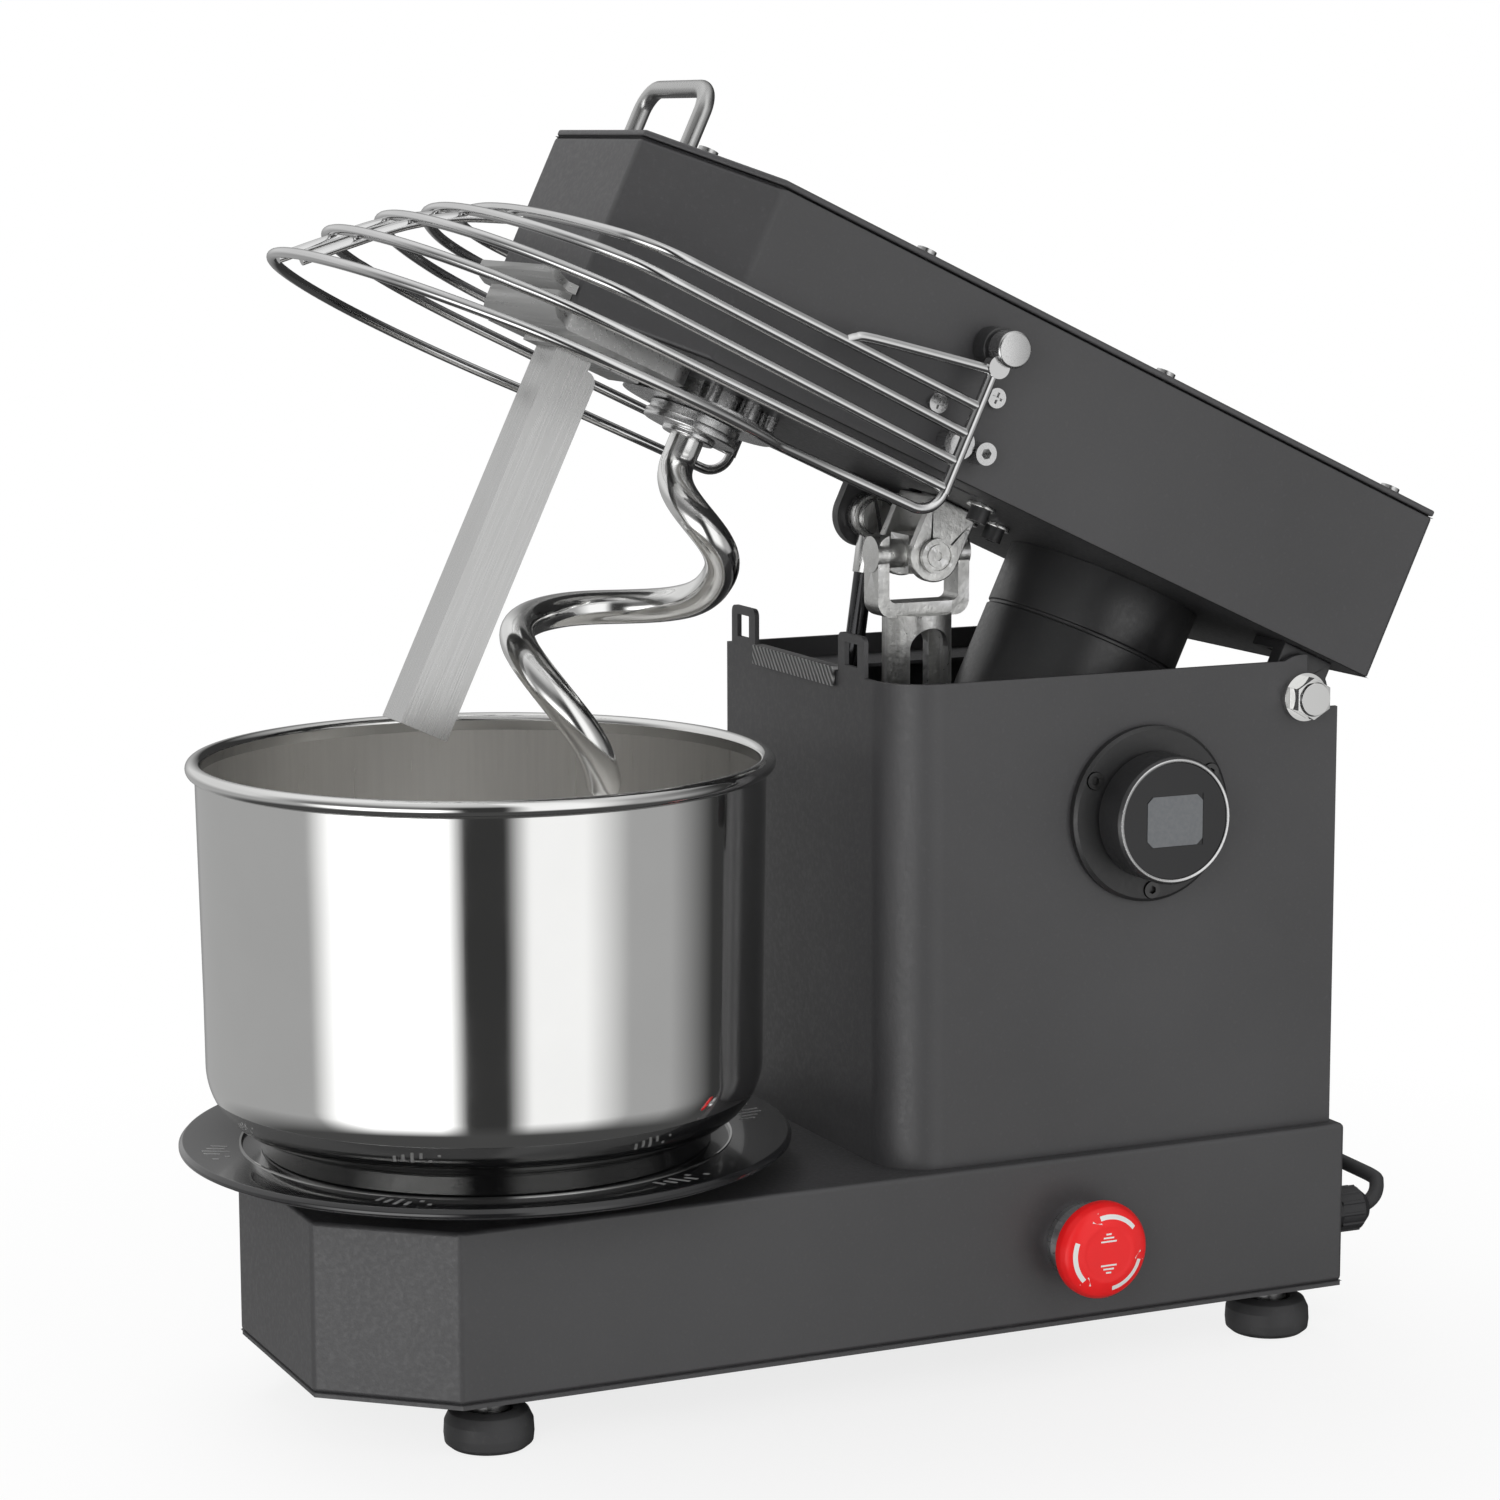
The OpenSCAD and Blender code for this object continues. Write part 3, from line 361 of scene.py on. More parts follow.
def cast(n):
    """Cast metal, lighter on its edges."""
    color = (0.86, 0.86, 0.84)
    cloud = n.noise(scale=60, detail=4)
    grain = n.noise(scale=330, detail=4, rough=0.6)
    fine = n.noise(scale=1200, detail=2)
    base = n.mix(n.remap(cloud), tint(color, 0.72), color)
    edges = n.add("ShaderNodeNewGeometry").outputs["Pointiness"]
    base = n.mix(n.remap(edges, span=(0.52, 0.60)), base, tint(color, 1.25))
    normal = n.bump(grain, strength=0.42, distance=0.0006)
    normal = n.bump(fine, strength=0.25, distance=0.0002, under=normal)
    n.shade(Base_Color=base, Roughness=n.remap(grain, to=(0.26, 0.46)), Normal=normal,
            Metallic=0.95)


def rubber(n):
    """Dark rubber with pale dust."""
    color = (0.036, 0.036, 0.037)
    dust_color = (0.16, 0.155, 0.15)
    cloud = n.noise(scale=40)
    fine = n.noise(scale=1100, detail=2)
    base = n.mix(n.remap(cloud), tint(color, 0.8), tint(color, 1.5))
    dust = n.noise(scale=190, detail=5, rough=0.7)
    base = n.mix(n.remap(dust, to=(0.0, 0.22), span=(0.58, 0.8)), base, dust_color)
    n.shade(Base_Color=base, Roughness=n.remap(cloud, to=(0.42, 0.62)),
            Normal=n.bump(fine, strength=0.22, distance=0.00018), Specular_IOR_Level=0.35)


def gloss_black(n):
    """Coated black with a little dust."""
    color, dust_color = (0.010, 0.010, 0.011), (0.22, 0.22, 0.22)
    dust = n.noise(scale=420, detail=5, rough=0.7)
    smear = n.noise(scale=16, detail=4)
    base = n.mix(n.remap(dust, to=(0.0, 0.12), span=(0.62, 0.82)), color, dust_color)
    n.shade(Base_Color=base, Roughness=n.remap(smear, to=(0.10, 0.22)),
            Normal=n.bump(n.noise(scale=60, detail=2), strength=0.04, distance=0.0004),
            Coat_Weight=0.6, Coat_Roughness=0.05)


def knurl(n):
    """Slanting knurled ridges over a real bump; the dark valleys are painted shade and the light
    ridge tops a painted highlight.
    """
    # valley colour is painted shade, ridge colour a painted highlight
    valley_painted_shade, ridge_painted_highlight = (0.035, 0.035, 0.035), (0.32, 0.32, 0.32)
    mapping = n.add("ShaderNodeMapping")
    n.link(n.coordinates.outputs["Object"], mapping.inputs["Vector"])
    mapping.inputs["Rotation"].default_value = (0, rad(40), 0)
    wave = n.add("ShaderNodeTexWave", bands_direction="X")
    wave.inputs["Scale"].default_value = 120
    wave.inputs["Distortion"].default_value = 1.2
    wave.inputs["Detail"].default_value = 2
    n.link(mapping.outputs["Vector"], wave.inputs["Vector"])
    height = wave.outputs["Fac"]
    n.shade(Base_Color=n.mix(height, valley_painted_shade, ridge_painted_highlight), Roughness=0.6,
            Normal=n.bump(height, strength=0.8, distance=0.0008))


def board(n):
    """Green with hard-edged patches."""
    dark, light = (0.010, 0.10, 0.04), (0.03, 0.20, 0.09)
    patches = n.noise(scale=260, detail=5, rough=0.7)
    n.shade(Base_Color=n.mix(n.remap(patches, span=(0.48, 0.52)), dark, light), Roughness=0.38,
            Normal=n.bump(patches, strength=0.1, distance=0.0001))


def display(n):
    dark, light = (0.115, 0.122, 0.130), (0.135, 0.142, 0.150)
    fine = n.noise(scale=700, detail=2)
    n.shade(Base_Color=n.mix(n.remap(fine), dark, light),
            Roughness=n.remap(fine, to=(0.16, 0.24)),
            Normal=n.bump(fine, strength=0.03, distance=0.00005),
            Coat_Weight=0.8, Coat_Roughness=0.04)


def machined(n):
    """Bright steel with fine grain along X."""
    dark, light = (0.60, 0.60, 0.60), (0.76, 0.76, 0.76)
    cloud = n.noise(scale=26)
    lines = n.noise(scale=1400, detail=2, stretch=(0.02, 1, 1))
    n.shade(Base_Color=n.mix(n.remap(cloud), dark, light),
            Roughness=n.remap(lines, to=(0.14, 0.30)),
            Normal=n.bump(lines, strength=0.10, distance=0.00008),
            Metallic=1.0, Anisotropic=0.6)


BUILD = {
    "graphite_paint": powder((0.044, 0.0435, 0.0455)),
    "bezel_paint": powder((0.015, 0.015, 0.0155), spread=0.08, rough=0.42),
    "dark_screw": brushed((0.10, 0.10, 0.10), rough=0.35, stretch=(0.05, 1, 1)),
    "lid_paint": powder((0.056, 0.055, 0.0575)),
    "black_paint": powder((0.024, 0.024, 0.025), spread=0.15, rough=0.34),
    "gloss_black": gloss_black,
    "polished_steel": polished((0.82, 0.82, 0.81), rough=0.05, wave=0.008),
    "bowl_inside": brushed((0.93, 0.92, 0.90), rough=0.33, stretch=(1, 1, 0.04), scale=500,
                           strength=0.03, spread=0.04),
    "brushed_steel": brushed((0.59, 0.59, 0.585), rough=0.28, stretch=(1, 1, 0.012), scale=2600,
                             strength=0.05, tilt=(rad(-OPEN), 0, 0), spread=0.07),
    "bright_wire": polished((0.70, 0.70, 0.70), rough=0.08, wave=0.01),
    "zinc": cast,
    "machined_steel": machined,
    "aluminium": brushed((0.70, 0.70, 0.71), rough=0.30, stretch=(0.05, 1, 1), scale=800,
                         strength=0.12),
    "bronze": brushed((0.58, 0.40, 0.20), rough=0.34, stretch=(1, 0.05, 1), scale=700,
                      strength=0.15),
    "rubber": rubber,
    "knurl": knurl,
    "black_plastic": plastic((0.026, 0.026, 0.028), rough=0.42),
    "red_plastic": plastic((0.92, 0.007, 0.009), rough=0.36,
                           Coat_Weight=0.12, Coat_Roughness=0.12),
    "white_ink": plastic((0.82, 0.82, 0.80), rough=0.40),
    "dark_glass": plastic((0.004, 0.004, 0.005), rough=0.10,
                          Coat_Weight=0.35, Coat_Roughness=0.03),
    "display_grey": display,
    "board_green": board,
    "shield_light": brushed((0.50, 0.50, 0.495), rough=0.30, stretch=(0.04, 1, 1), spread=0.06),
    "hook_steel": polished((0.88, 0.88, 0.87), rough=0.10, wave=0.03),
    "strut_dark": polished((0.075, 0.075, 0.078), rough=0.12, wave=0.01),
    "strut_fitting": brushed((0.72, 0.72, 0.71), rough=0.22, stretch=(1, 1, 0.05)),
    "foot_neck": brushed((0.24, 0.24, 0.24), rough=0.30, stretch=(0.2, 0.2, 1), scale=700,
                         strength=0.12),
    "etched": plastic((0.30, 0.30, 0.30), rough=0.42),
}
made_materials = {}


def get_material(name):
    if name not in made_materials:
        nodes = MaterialNodes(name)
        BUILD[name](nodes)
        made_materials[name] = nodes.material
    return made_materials[name]


# ---------------------------------------------------------------- CAD pieces
# materials that differ from the piece's slot
OVERRIDE = {
    "gas_strut_rod": "strut_dark", "display_bezel": "bezel_paint", "bezel_screws": "dark_screw",
    "head_lid": "lid_paint", "rest_pad": "knurl", "under_shield": "shield_light",
}
# bevel widths
BEVEL = {
    "base_housing": 2.2, "tower_shell": 1.4, "head_casing": 2.0, "head_lid": 0.8,
    "display_bezel": 0.5, "breaker_bar": 0.6, "lower_yoke": 1.0, "upper_yoke": 0.9,
    "hinge_brackets": 0.7, "rest_pad": 0.8, "under_shield": 0.5, "gas_strut_bracket": 0.6,
    "hinge_bolts": 0.5, "head_side_screws": 0.4, "spiral_bearing_housing": 0.6,
    "cap_screws": 0.35, "bezel_screws": 0.3, "lid_screws": 0.35, "guard_bosses": 0.5,
    "stop_collar": 0.4, "head_bottom_plate": 0.4, "gas_strut_rod": 0.4, "head_latch": 0.5,
    "cable_gland": 0.35, "inner_tray": 0.3, "motor_body": 0.4,
}

for name, obj in frame["nodes"].items():
    obj.data.materials.clear()
    obj.data.materials.append(get_material(OVERRIDE.get(name, SLOT[name])))
    obj.data.shade_smooth()
    if name in BEVEL:
        weld = obj.modifiers.new("weld", "WELD")
        weld.merge_threshold = 0.00002
        bevel = obj.modifiers.new("bevel", "BEVEL")
        bevel.width = BEVEL[name] * 0.001
        bevel.segments = 3
        bevel.limit_method = "ANGLE"
        bevel.angle_limit = rad(38)
        bevel.harden_normals = True
        bevel.use_clamp_overlap = True
    split = obj.modifiers.new("split", "EDGE_SPLIT")
    split.split_angle = rad(36 if name in BEVEL else 30)
    # flat faces keep one shade next to rounded corners
    weighted = obj.modifiers.new("weighted", "WEIGHTED_NORMAL")
    weighted.mode = "FACE_AREA_WITH_ANGLE"
    weighted.weight = 100


def fit(obj, material, body, node=None):
    """Gives a new piece its material and body; node is the CAD piece it replaces."""
    if material:
        obj.data.materials.append(get_material(material))
    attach(obj, body)
    if node:
        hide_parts(node)


# ---------------------------------------------------------------- bowl
BOWL_FLOOR = 113
SHEET = 1.2  # thickness
RIM = 3.2  # radius of the rolled rim's section
low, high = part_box("bowl")
rim_radius = ((high - low) * 1000).x / 2 - RIM
wall = rim_radius - 0.4
foot_z, rim_z = low.z * 1000, high.z * 1000 - RIM

# quarter ellipse from the floor up to the wall
curve = []
for i in range(25):
    a = rad(90) * i / 24
    curve.append((88 + (wall - 1.8 - 88) * math.sin(a), BOWL_FLOOR + 26 * (1 - math.cos(a))))
# (radius, z) under the floor and round the foot ring
outline = [
    (0, BOWL_FLOOR), (40, BOWL_FLOOR), (84, BOWL_FLOOR), (87.2, 112.4), (87.6, foot_z + 0.6),
    (88.2, foot_z), (89.4, foot_z), (90.0, foot_z + 0.6), (90.2, 112.0), (91.5, 113.2),
]
outline += [point for point in curve if point[0] > 92.0]
outline += [(wall - 1.6, foot_z + 60), (wall - 0.1, rim_z - 3.6)]
for k in range(31):
    a = rad(-88 + 268 * k / 30)
    outline.append((rim_radius + RIM * math.cos(a), rim_z + RIM * math.sin(a)))
outline.append((wall - 1.3, rim_z - 4.0))
outline += [(r - SHEET, z + SHEET) for r, z in reversed(curve) if r - SHEET > 87]
outline += [(60, BOWL_FLOOR + SHEET), (0, BOWL_FLOOR + SHEET)]
bowl = lathe("bowl_spun", outline, BASE, 224, 50)
for name in ("polished_steel", "bowl_inside"):
    bowl.data.materials.append(get_material(name))
for face in bowl.data.polygons:
    centre, normal = face.center, face.normal
    z = centre.z * 1000
    faces_axis = normal.x * centre.x + normal.y * (centre.y + Y_SHIFT * 0.001) < -1e-6
    if (faces_axis or (normal.z > 0.5 and z < 150)) and z < rim_z - 3:
        face.material_index = 1
fit(bowl, None, "bowl", "bowl")

# ---------------------------------------------------------------- turntable
# the sloping top band, as (radius, z) at its inner and outer edges
BAND_IN, BAND_OUT = (98.2, 106), (121, 108)
DISH = [
    (10.2, 98), (40, 98), (44, 102), (104, 103.2), (119.6, 103.6), (122.4, 105), (122.4, 106.4),
    BAND_OUT, BAND_IN, (97.6, 105.6), (97.6, 104.4), (86, 104.4), (86, 106.4), (10.2, 106.4),
]
fit(lathe("turntable_dish", fillet(DISH, 0.7, 4), BASE, 224, 30),
    "gloss_black", "turntable", "turntable_platter")
# bright line round the recess
LINE = [(97.7, 105.9), (98.5, 106.05), (98.5, 106.35), (97.7, 106.2)]
fit(lathe("turntable_line", LINE, BASE, 224), "polished_steel", "turntable")

# radial marks on the band in six groups: inner and outer radius of each mark in a group
MARKS = ((103.5, 110.0), (105.0, 112.0), (103.5, 114.5),
         (108.0, 114.5), (104.5, 107.0), (110.5, 113.0))
MARK_HALF_WIDTH = 0.75
MARK_RISE, MARK_SINK = 0.10, 0.25  # above and below the band
BOX_FACES = [(0, 1, 2, 3), (7, 6, 5, 4), (0, 4, 5, 1), (1, 5, 6, 2), (2, 6, 7, 3), (3, 7, 4, 0)]


def band_z(r):
    return BAND_IN[1] + (r - BAND_IN[0]) * (BAND_OUT[1] - BAND_IN[1]) / (BAND_OUT[0] - BAND_IN[0])


parts = []
for group in range(6):
    for k, (inner, outer) in enumerate(MARKS):
        a = rad(60 * group + 17 + 2.2 * k)
        along = Vector((math.cos(a), math.sin(a), 0))
        half = Vector((-math.sin(a), math.cos(a), 0)) * MARK_HALF_WIDTH
        corners = [along * inner - half, along * outer - half,
                   along * outer + half, along * inner + half]
        parts.append(([Vector((p.x, p.y, band_z(math.hypot(p.x, p.y)) + lift))
                       for lift in (MARK_RISE, -MARK_SINK) for p in corners], BOX_FACES))
fit(make_object("turntable_marks", join_parts(parts), BASE, angle=None),
    "etched", "turntable")

# ---------------------------------------------------------------- spiral hook
HOOK_Y = 66  # the hook's axis
HOOK_BAR = 7.0  # bar radius
HOOK_TIP = [6.9, 6.6, 6.0, 4.9, 3.1, 0.4]  # bar radius at the last points
# (z, angle about the axis in degrees)
HOOK_ANGLE = [
    (124, 325), (131, 313), (142, 291), (151, 264), (161, 231), (170, 196), (176, 172),
    (182.5, 149), (192.5, 116), (203.8, 72), (210, 46), (216, 24), (222, 10), (228, 0),
    (235, -24), (243, -46), (251, -60), (262, -70), (280, -75),
]
# (z, distance from the axis)
HOOK_REACH = [
    (124, 29), (131, 31.5), (142, 33), (228, 33), (235, 29.5), (240, 22.5), (245, 14),
    (250, 6.4), (254, 2.2), (259, 0), (280, 0),
]
# directions of 0 and 90 degrees in HOOK_ANGLE
HOOK_ZERO, HOOK_QUARTER = Vector((0.419, 0.908, 0)), Vector((-0.908, 0.419, 0))


def look_up(table, z):
    if z <= table[0][0]:
        return table[0][1]
    for (z0, value0), (z1, value1) in zip(table, table[1:]):
        if z <= z1:
            return value0 + (value1 - value0) * (z - z0) / (z1 - z0)
    return table[-1][1]


def smoothed(table, z, offsets):
    return sum(look_up(table, z + offset) for offset in offsets) / len(offsets)


path = []
for z in range(274, 123, -1):
    a = rad(smoothed(HOOK_ANGLE, z, (-4, -2, 0, 2, 4)))
    reach = smoothed(HOOK_REACH, z, (-4, -2, -1, 0, 1, 2, 4))
    offset = reach * math.cos(a) * HOOK_ZERO + reach * math.sin(a) * HOOK_QUARTER
    path.append((offset.x, HOOK_Y + offset.y, z))
radii = [HOOK_BAR] * (len(path) - len(HOOK_TIP)) + HOOK_TIP
fit(make_object("spiral_hook_bar", tube(path, radii, (1, 0, 0), 32), HEAD, 60),
    "hook_steel", "spiral", "spiral_hook")
FLANGE = [(0, 270), (11, 270), (11, 272.4), (20, 272.4), (20, 276.1), (0, 276.1)]
fit(lathe("spiral_hook_flange", fillet(FLANGE, [0, 0.8, 0.6, 0.8, 0.6, 0], 4),
          HEAD @ move(0, HOOK_Y, 0), 96),
    "machined_steel", "spiral")

# ---------------------------------------------------------------- guard
GUARD_X = 99.0  # half width
WIRE = 2.1  # wire radius
HOOP = 116  # radius of the lowest hoop
GUARD_REAR = 131  # y the rings tilt about
PIN_Y, PIN_Z = 133.5, 343.4  # cross pins and their caps
# z, tilt in degrees, reach to the front, corner radius
GUARD_RINGS = ((284, 0.5, 100, 98), (295, 1.4, 82, 60), (306.5, 1.5, 64, 45), (318, 0.5, 46, 30))
# (y, z) of the wires at both sides, and of the pair over the front
SIDE_WIRE = ((129, 333), (100, 327.8), (76, 323.2), (71, 321.0), (68, 318.6))
FRONT_WIRE = ((-114.5, 267.2), (-98.8, 281.6), (-81.6, 296.6), (-63.4, 308), (-45, 315.8))


def arc(x, y, radius, start, end, steps):
    out = []
    for i in range(steps + 1):
        a = rad(start + (end - start) * i / steps)
        out.append(Vector((x + radius * math.cos(a), y + radius * math.sin(a), 0)))
    return out


def tilted(path, z, degrees):
    place = move(0, GUARD_REAR, z) @ turn(-degrees, "X") @ move(0, -GUARD_REAR, 0)
    return [place @ p for p in path]


def ring_path(reach, corner):
    """Straight sides, rounded corners and a shallow front arc that meets them smoothly."""
    inset = GUARD_X - corner
    front_radius = (inset ** 2 + reach * reach - corner * corner) / (2 * (reach - corner))
    spread = math.degrees(math.asin(inset / (front_radius - corner)))
    half = [Vector((GUARD_X, 130, 0)), Vector((GUARD_X, 65, 0))]
    half += arc(inset, 0, corner, 0, -(90 - spread), 28)
    limit = inset - 0.5 + corner * math.sin(rad(spread))
    front = arc(0, front_radius - reach, front_radius, 270 + spread, 270 - spread, 40)
    return half + [p for p in front if abs(p.x) < limit] + mirror(half)


parts = [tube(tilted(ring_path(reach, corner), z, degrees), WIRE, (0, 0, 1), 16)
         for z, degrees, reach, corner in GUARD_RINGS]
# lowest hoop, bent up at its rear ends
half = [Vector((GUARD_X, 121 + 10 * math.sin(rad(t)), 10 - 10 * math.cos(rad(t))))
        for t in range(90, -1, -9)]
half.append(Vector((GUARD_X, 90, 0)))
hoop_start = math.degrees(math.acos(GUARD_X / HOOP))
hoop = half + arc(0, 0, HOOP, hoop_start, -180 - hoop_start, 96) + mirror(half)
parts.append(tube(tilted(hoop, 272.3, -0.7), WIRE, (1, 0, 0), 16))
for sign, _ in SIDES:
    x = sign * GUARD_X
    parts += [
        # upright and side wire
        tube([(x, GUARD_REAR, 282), (x, GUARD_REAR, 333)], WIRE + 0.3, (1, 0, 0), 20),
        tube(spline([(x, y, z) for y, z in SIDE_WIRE]), WIRE, (1, 0, 0), 16),
        # short thick barrel above the upright
        tube([(sign * (GUARD_X - 2.7), 131.4, 335), (sign * (GUARD_X + 2.7), 131.4, 335)],
             4.5, (0, 0, 1), 32),
        tube(spline([(sign * 14, y, z) for y, z in FRONT_WIRE]), WIRE, (1, 0, 0), 16),
        # cross pin
        tube([(sign * 85, PIN_Y, PIN_Z), (x, PIN_Y, PIN_Z)], 3.95, (0, 0, 1), 32),
    ]
fit(make_object("guard_wire_frame", join_parts(parts), HEAD, 50),
    "bright_wire", "guard", "guard_wires")
for sign, side in SIDES:
    outline = fillet([(0, 0), (7.3, 0), (7.3, 9.1), (0, 9.1)], [0, 0.5, 1.1, 0], 4)
    place = HEAD @ move(sign * 95.4, PIN_Y, PIN_Z) @ turn(90 * sign, "Y")
    fit(lathe("guard_cap_" + side, outline, place, 96),
        "machined_steel", "guard")

# ---------------------------------------------------------------- lift handle
HANDLE_X, HANDLE_Y = 30, 6  # half the leg spacing, and the bar's y
HANDLE_FOOT, HANDLE_TOP = 363.0, 394
BEND = 10  # corner radius
path = [Vector((-HANDLE_X, HANDLE_Y, HANDLE_FOOT)), Vector((-HANDLE_X, HANDLE_Y, HANDLE_TOP - 12))]
for degrees in range(6, 91, 7):
    a = rad(degrees)
    path.append(Vector((BEND - HANDLE_X - BEND * math.cos(a), HANDLE_Y,
                        HANDLE_TOP - BEND + BEND * math.sin(a))))
fit(make_object("lift_handle_bar", tube(path + mirror(path), 3.5, (0, 1, 0), 28), HEAD, 50),
    "brushed_steel", "head", "lift_handle")
for sign, side in SIDES:
    outline = fillet([(0, 365.65), (5.3, 365.65), (5.3, 367.6), (0, 367.6)], [0, 0.2, 0.6, 0], 3)
    fit(lathe("handle_washer_" + side, outline, HEAD @ move(sign * HANDLE_X, HANDLE_Y, 0), 64),
        "machined_steel", "head")


# ---------------------------------------------------------------- stop button
def side_control(node, start):
    """Frame and radius of a round piece on the X axis, whose local z begins at start."""
    low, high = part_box(node)
    centre = (low + high) / 2
    place = move(low.x, centre.y, centre.z) @ TO_METRES @ turn(90, "Y") @ move(0, 0, -start)
    return place, (high.z - low.z) * 500


BUTTON_EDGE, BUTTON_DOME = 19, 4.6  # z where the dome starts, and its height
BUTTON_FLAT, BUTTON_FLAT_RADIUS = 22.45, 10.8  # the flat middle
INK = 0.06  # height of the print above the button
place, button = side_control("stop_mushroom", 12.8)
dome_radius = button - 1.1

outline = [(0, 13.4), (3.05, 13.4), (button - 2, 12.8), (button - 0.6, 13.2), (button, 14.4),
           (button, 16.8), (button - 0.35, 18.2)]
for i in range(1, 25):
    a = rad(90 * i / 24)
    r, z = dome_radius * math.cos(a), BUTTON_EDGE + BUTTON_DOME * math.sin(a)
    outline.append((r if i < 24 else 0, BUTTON_FLAT if r < BUTTON_FLAT_RADIUS else z))
fit(lathe("stop_button_head", outline, place, 128, 24),
    "red_plastic", "stop_button", "stop_mushroom")


def printed(corners):
    """One face on the dome from (radius, degrees) corners."""
    points = []
    for r, degrees in corners:
        slope = math.acos(min(1, r / dome_radius))
        a = rad(degrees)
        points.append(Vector((r * math.cos(a), r * math.sin(a),
                              BUTTON_EDGE + BUTTON_DOME * math.sin(slope) + INK)))
    return points, [tuple(range(len(points)))]


# three curved arrows, each a band of short faces and a triangular head
ARROW_STEPS, ARROW_STEP = 15, 4.4
parts = []
for k in range(3):
    start = 120 * k + 8
    for i in range(ARROW_STEPS):
        a0, a1 = start + i * ARROW_STEP, start + (i + 1) * ARROW_STEP
        parts.append(printed([(14.0, a0), (15.9, a0), (15.9, a1), (14.0, a1)]))
    end = start + ARROW_STEPS * ARROW_STEP
    parts.append(printed([(12.6, end), (17.3, end), (15.0, end + 15)]))
# three plain bars above and below the middle; local x points down
for sign, _ in SIDES:
    for k, half in enumerate((3.6, 2.4, 1.2)):
        x0 = sign * (4.6 + 1.5 * k)
        x1 = x0 + sign * 0.7
        bar = [(x0, -half), (x0, half), (x1, half), (x1, -half)]
        parts.append(([Vector((x, y, BUTTON_FLAT + INK)) for x, y in bar], [(0, 1, 2, 3)]))
fit(make_object("stop_button_arrows", join_parts(parts), place, angle=None),
    "white_ink", "stop_button")

# ---------------------------------------------------------------- knob ring
place, knob = side_control("knob_ring", 5)
outline = [(15, 5), (knob - 1.4, 5), (knob, 6.2), (knob, 21.2), (knob - 0.9, 22.4),
           (knob - 2.3, 22.4), (knob - 2.3, 19), (knob - 4, 19), (knob - 4, 8), (15, 8)]
fit(lathe("knob_outer_ring", fillet(outline, [0, 0.5, 0.6, 0.8, 0.5, 0.3, 0, 0, 0, 0], 4),
          place, 160, 30),
    "black_paint", "knob", "knob_ring")
# bright line on the outer edge
outline = [(knob - 2.2, 22.2), (knob - 0.9, 22.2), (knob - 0.9, 22.62), (knob - 1.3, 22.75),
           (knob - 2.2, 22.6)]
fit(lathe("knob_edge_line", fillet(outline, 0.1, 2), place, 160, 30),
    "machined_steel", "knob")

# ---------------------------------------------------------------- motor cover
# (radius, z) of a cup open at the top, with a groove round its upper part
CAN = [(8, 183), (41.5, 183), (42, 184), (42, 263.4), (41.2, 263.8), (41.2, 265), (42, 265.4),
       (42, 290.9), (40, 290.9), (40, 185), (8, 185)]
CAN_RADII = [0.5, 3.2, 1.0, 0.5, 0.3, 0.3, 0.5, 0.2, 0, 1.5, 0.5]
fit(lathe("motor_cover_can", fillet(CAN, CAN_RADII, 4), HEAD @ move(0, 268, 0), 160, 32),
    "black_paint", "head", "motor_cover")

# washers under the cap screws
WASHER = fillet([(4.6, 289.1), (6.2, 289.1), (6.2, 290.9), (4.6, 290.9)], 0.25, 2)
for i, (x, y) in enumerate(((50, 174.5), (-50, 174.5), (14, 203), (-14, 203))):
    fit(lathe("cap_washer_%d" % (i + 1), WASHER, HEAD @ move(x, y, 0), 48),
        "strut_fitting", "head")

# ---------------------------------------------------------------- gas strut
STRUT_X = -32
PIVOT_Y, PIVOT_Z = 155.5, 118  # lower end, in the base
EYE_Y, EYE_Z = 171, 277  # upper end, in the closed head
cos_open, sin_open = math.cos(rad(OPEN)), math.sin(rad(OPEN))
arm_y, arm_z = EYE_Y - HINGE_Y, EYE_Z - HINGE_Z
rise_y = HINGE_Y + arm_y * cos_open + arm_z * sin_open - PIVOT_Y
rise_z = HINGE_Z - arm_y * sin_open + arm_z * cos_open - PIVOT_Z
length = math.hypot(rise_y, rise_z)
strut = (BASE @ move(STRUT_X, PIVOT_Y, PIVOT_Z)
         @ Matrix.Rotation(-math.atan2(rise_y, rise_z), 4, "X"))
# bright sleeve and eye at the upper end
outline = [(4.0, length - 24), (4.75, length - 24), (4.75, length - 8.2), (4.0, length - 8.2)]
fit(lathe("strut_end_sleeve", fillet(outline, 0.3, 3), strut, 64),
    "strut_fitting", "gas_strut_rod")
outline = [(4.6, -3.75), (9.65, -3.75), (9.65, 3.75), (4.6, 3.75)]
fit(lathe("strut_end_eye", fillet(outline, 0.6, 3), strut @ move(0, 0, length) @ turn(90, "Y"), 72),
    "strut_fitting", "gas_strut_rod")

# slotted screw head in two halves, with a chamfered top
SCREW, SLOT_HALF = 7.6, 0.8  # head radius and half the slot's width
ARC = 25  # points round each half
parts = []
slot_angle = math.asin(SLOT_HALF / SCREW)
for sign in (1, -1):
    rim = []
    for i in range(ARC):
        a = slot_angle + (math.pi - 2 * slot_angle) * i / (ARC - 1)
        rim.append((SCREW * math.cos(a), sign * SCREW * math.sin(a)))
    if sign < 0:
        rim.reverse()
    vertices = [Vector((x, y, z)) for z in (4.3, 6.7) for x, y in rim]
    vertices += [Vector((x * 0.93, y * 0.93 + sign * 0.06, 7.15)) for x, y in rim]
    faces = [tuple(range(ARC))[::-1], tuple(range(2 * ARC, 3 * ARC))]
    for start in (0, ARC):
        for i in range(ARC):
            k = (i + 1) % ARC
            faces.append((start + i, start + k, start + ARC + k, start + ARC + i))
    parts.append((vertices, faces))
place = HEAD @ move(STRUT_X, EYE_Y, EYE_Z) @ turn(90, "Y") @ turn(35, "Z")
fit(make_object("strut_screw_head", join_parts(parts), place, 30),
    "strut_fitting", "head")

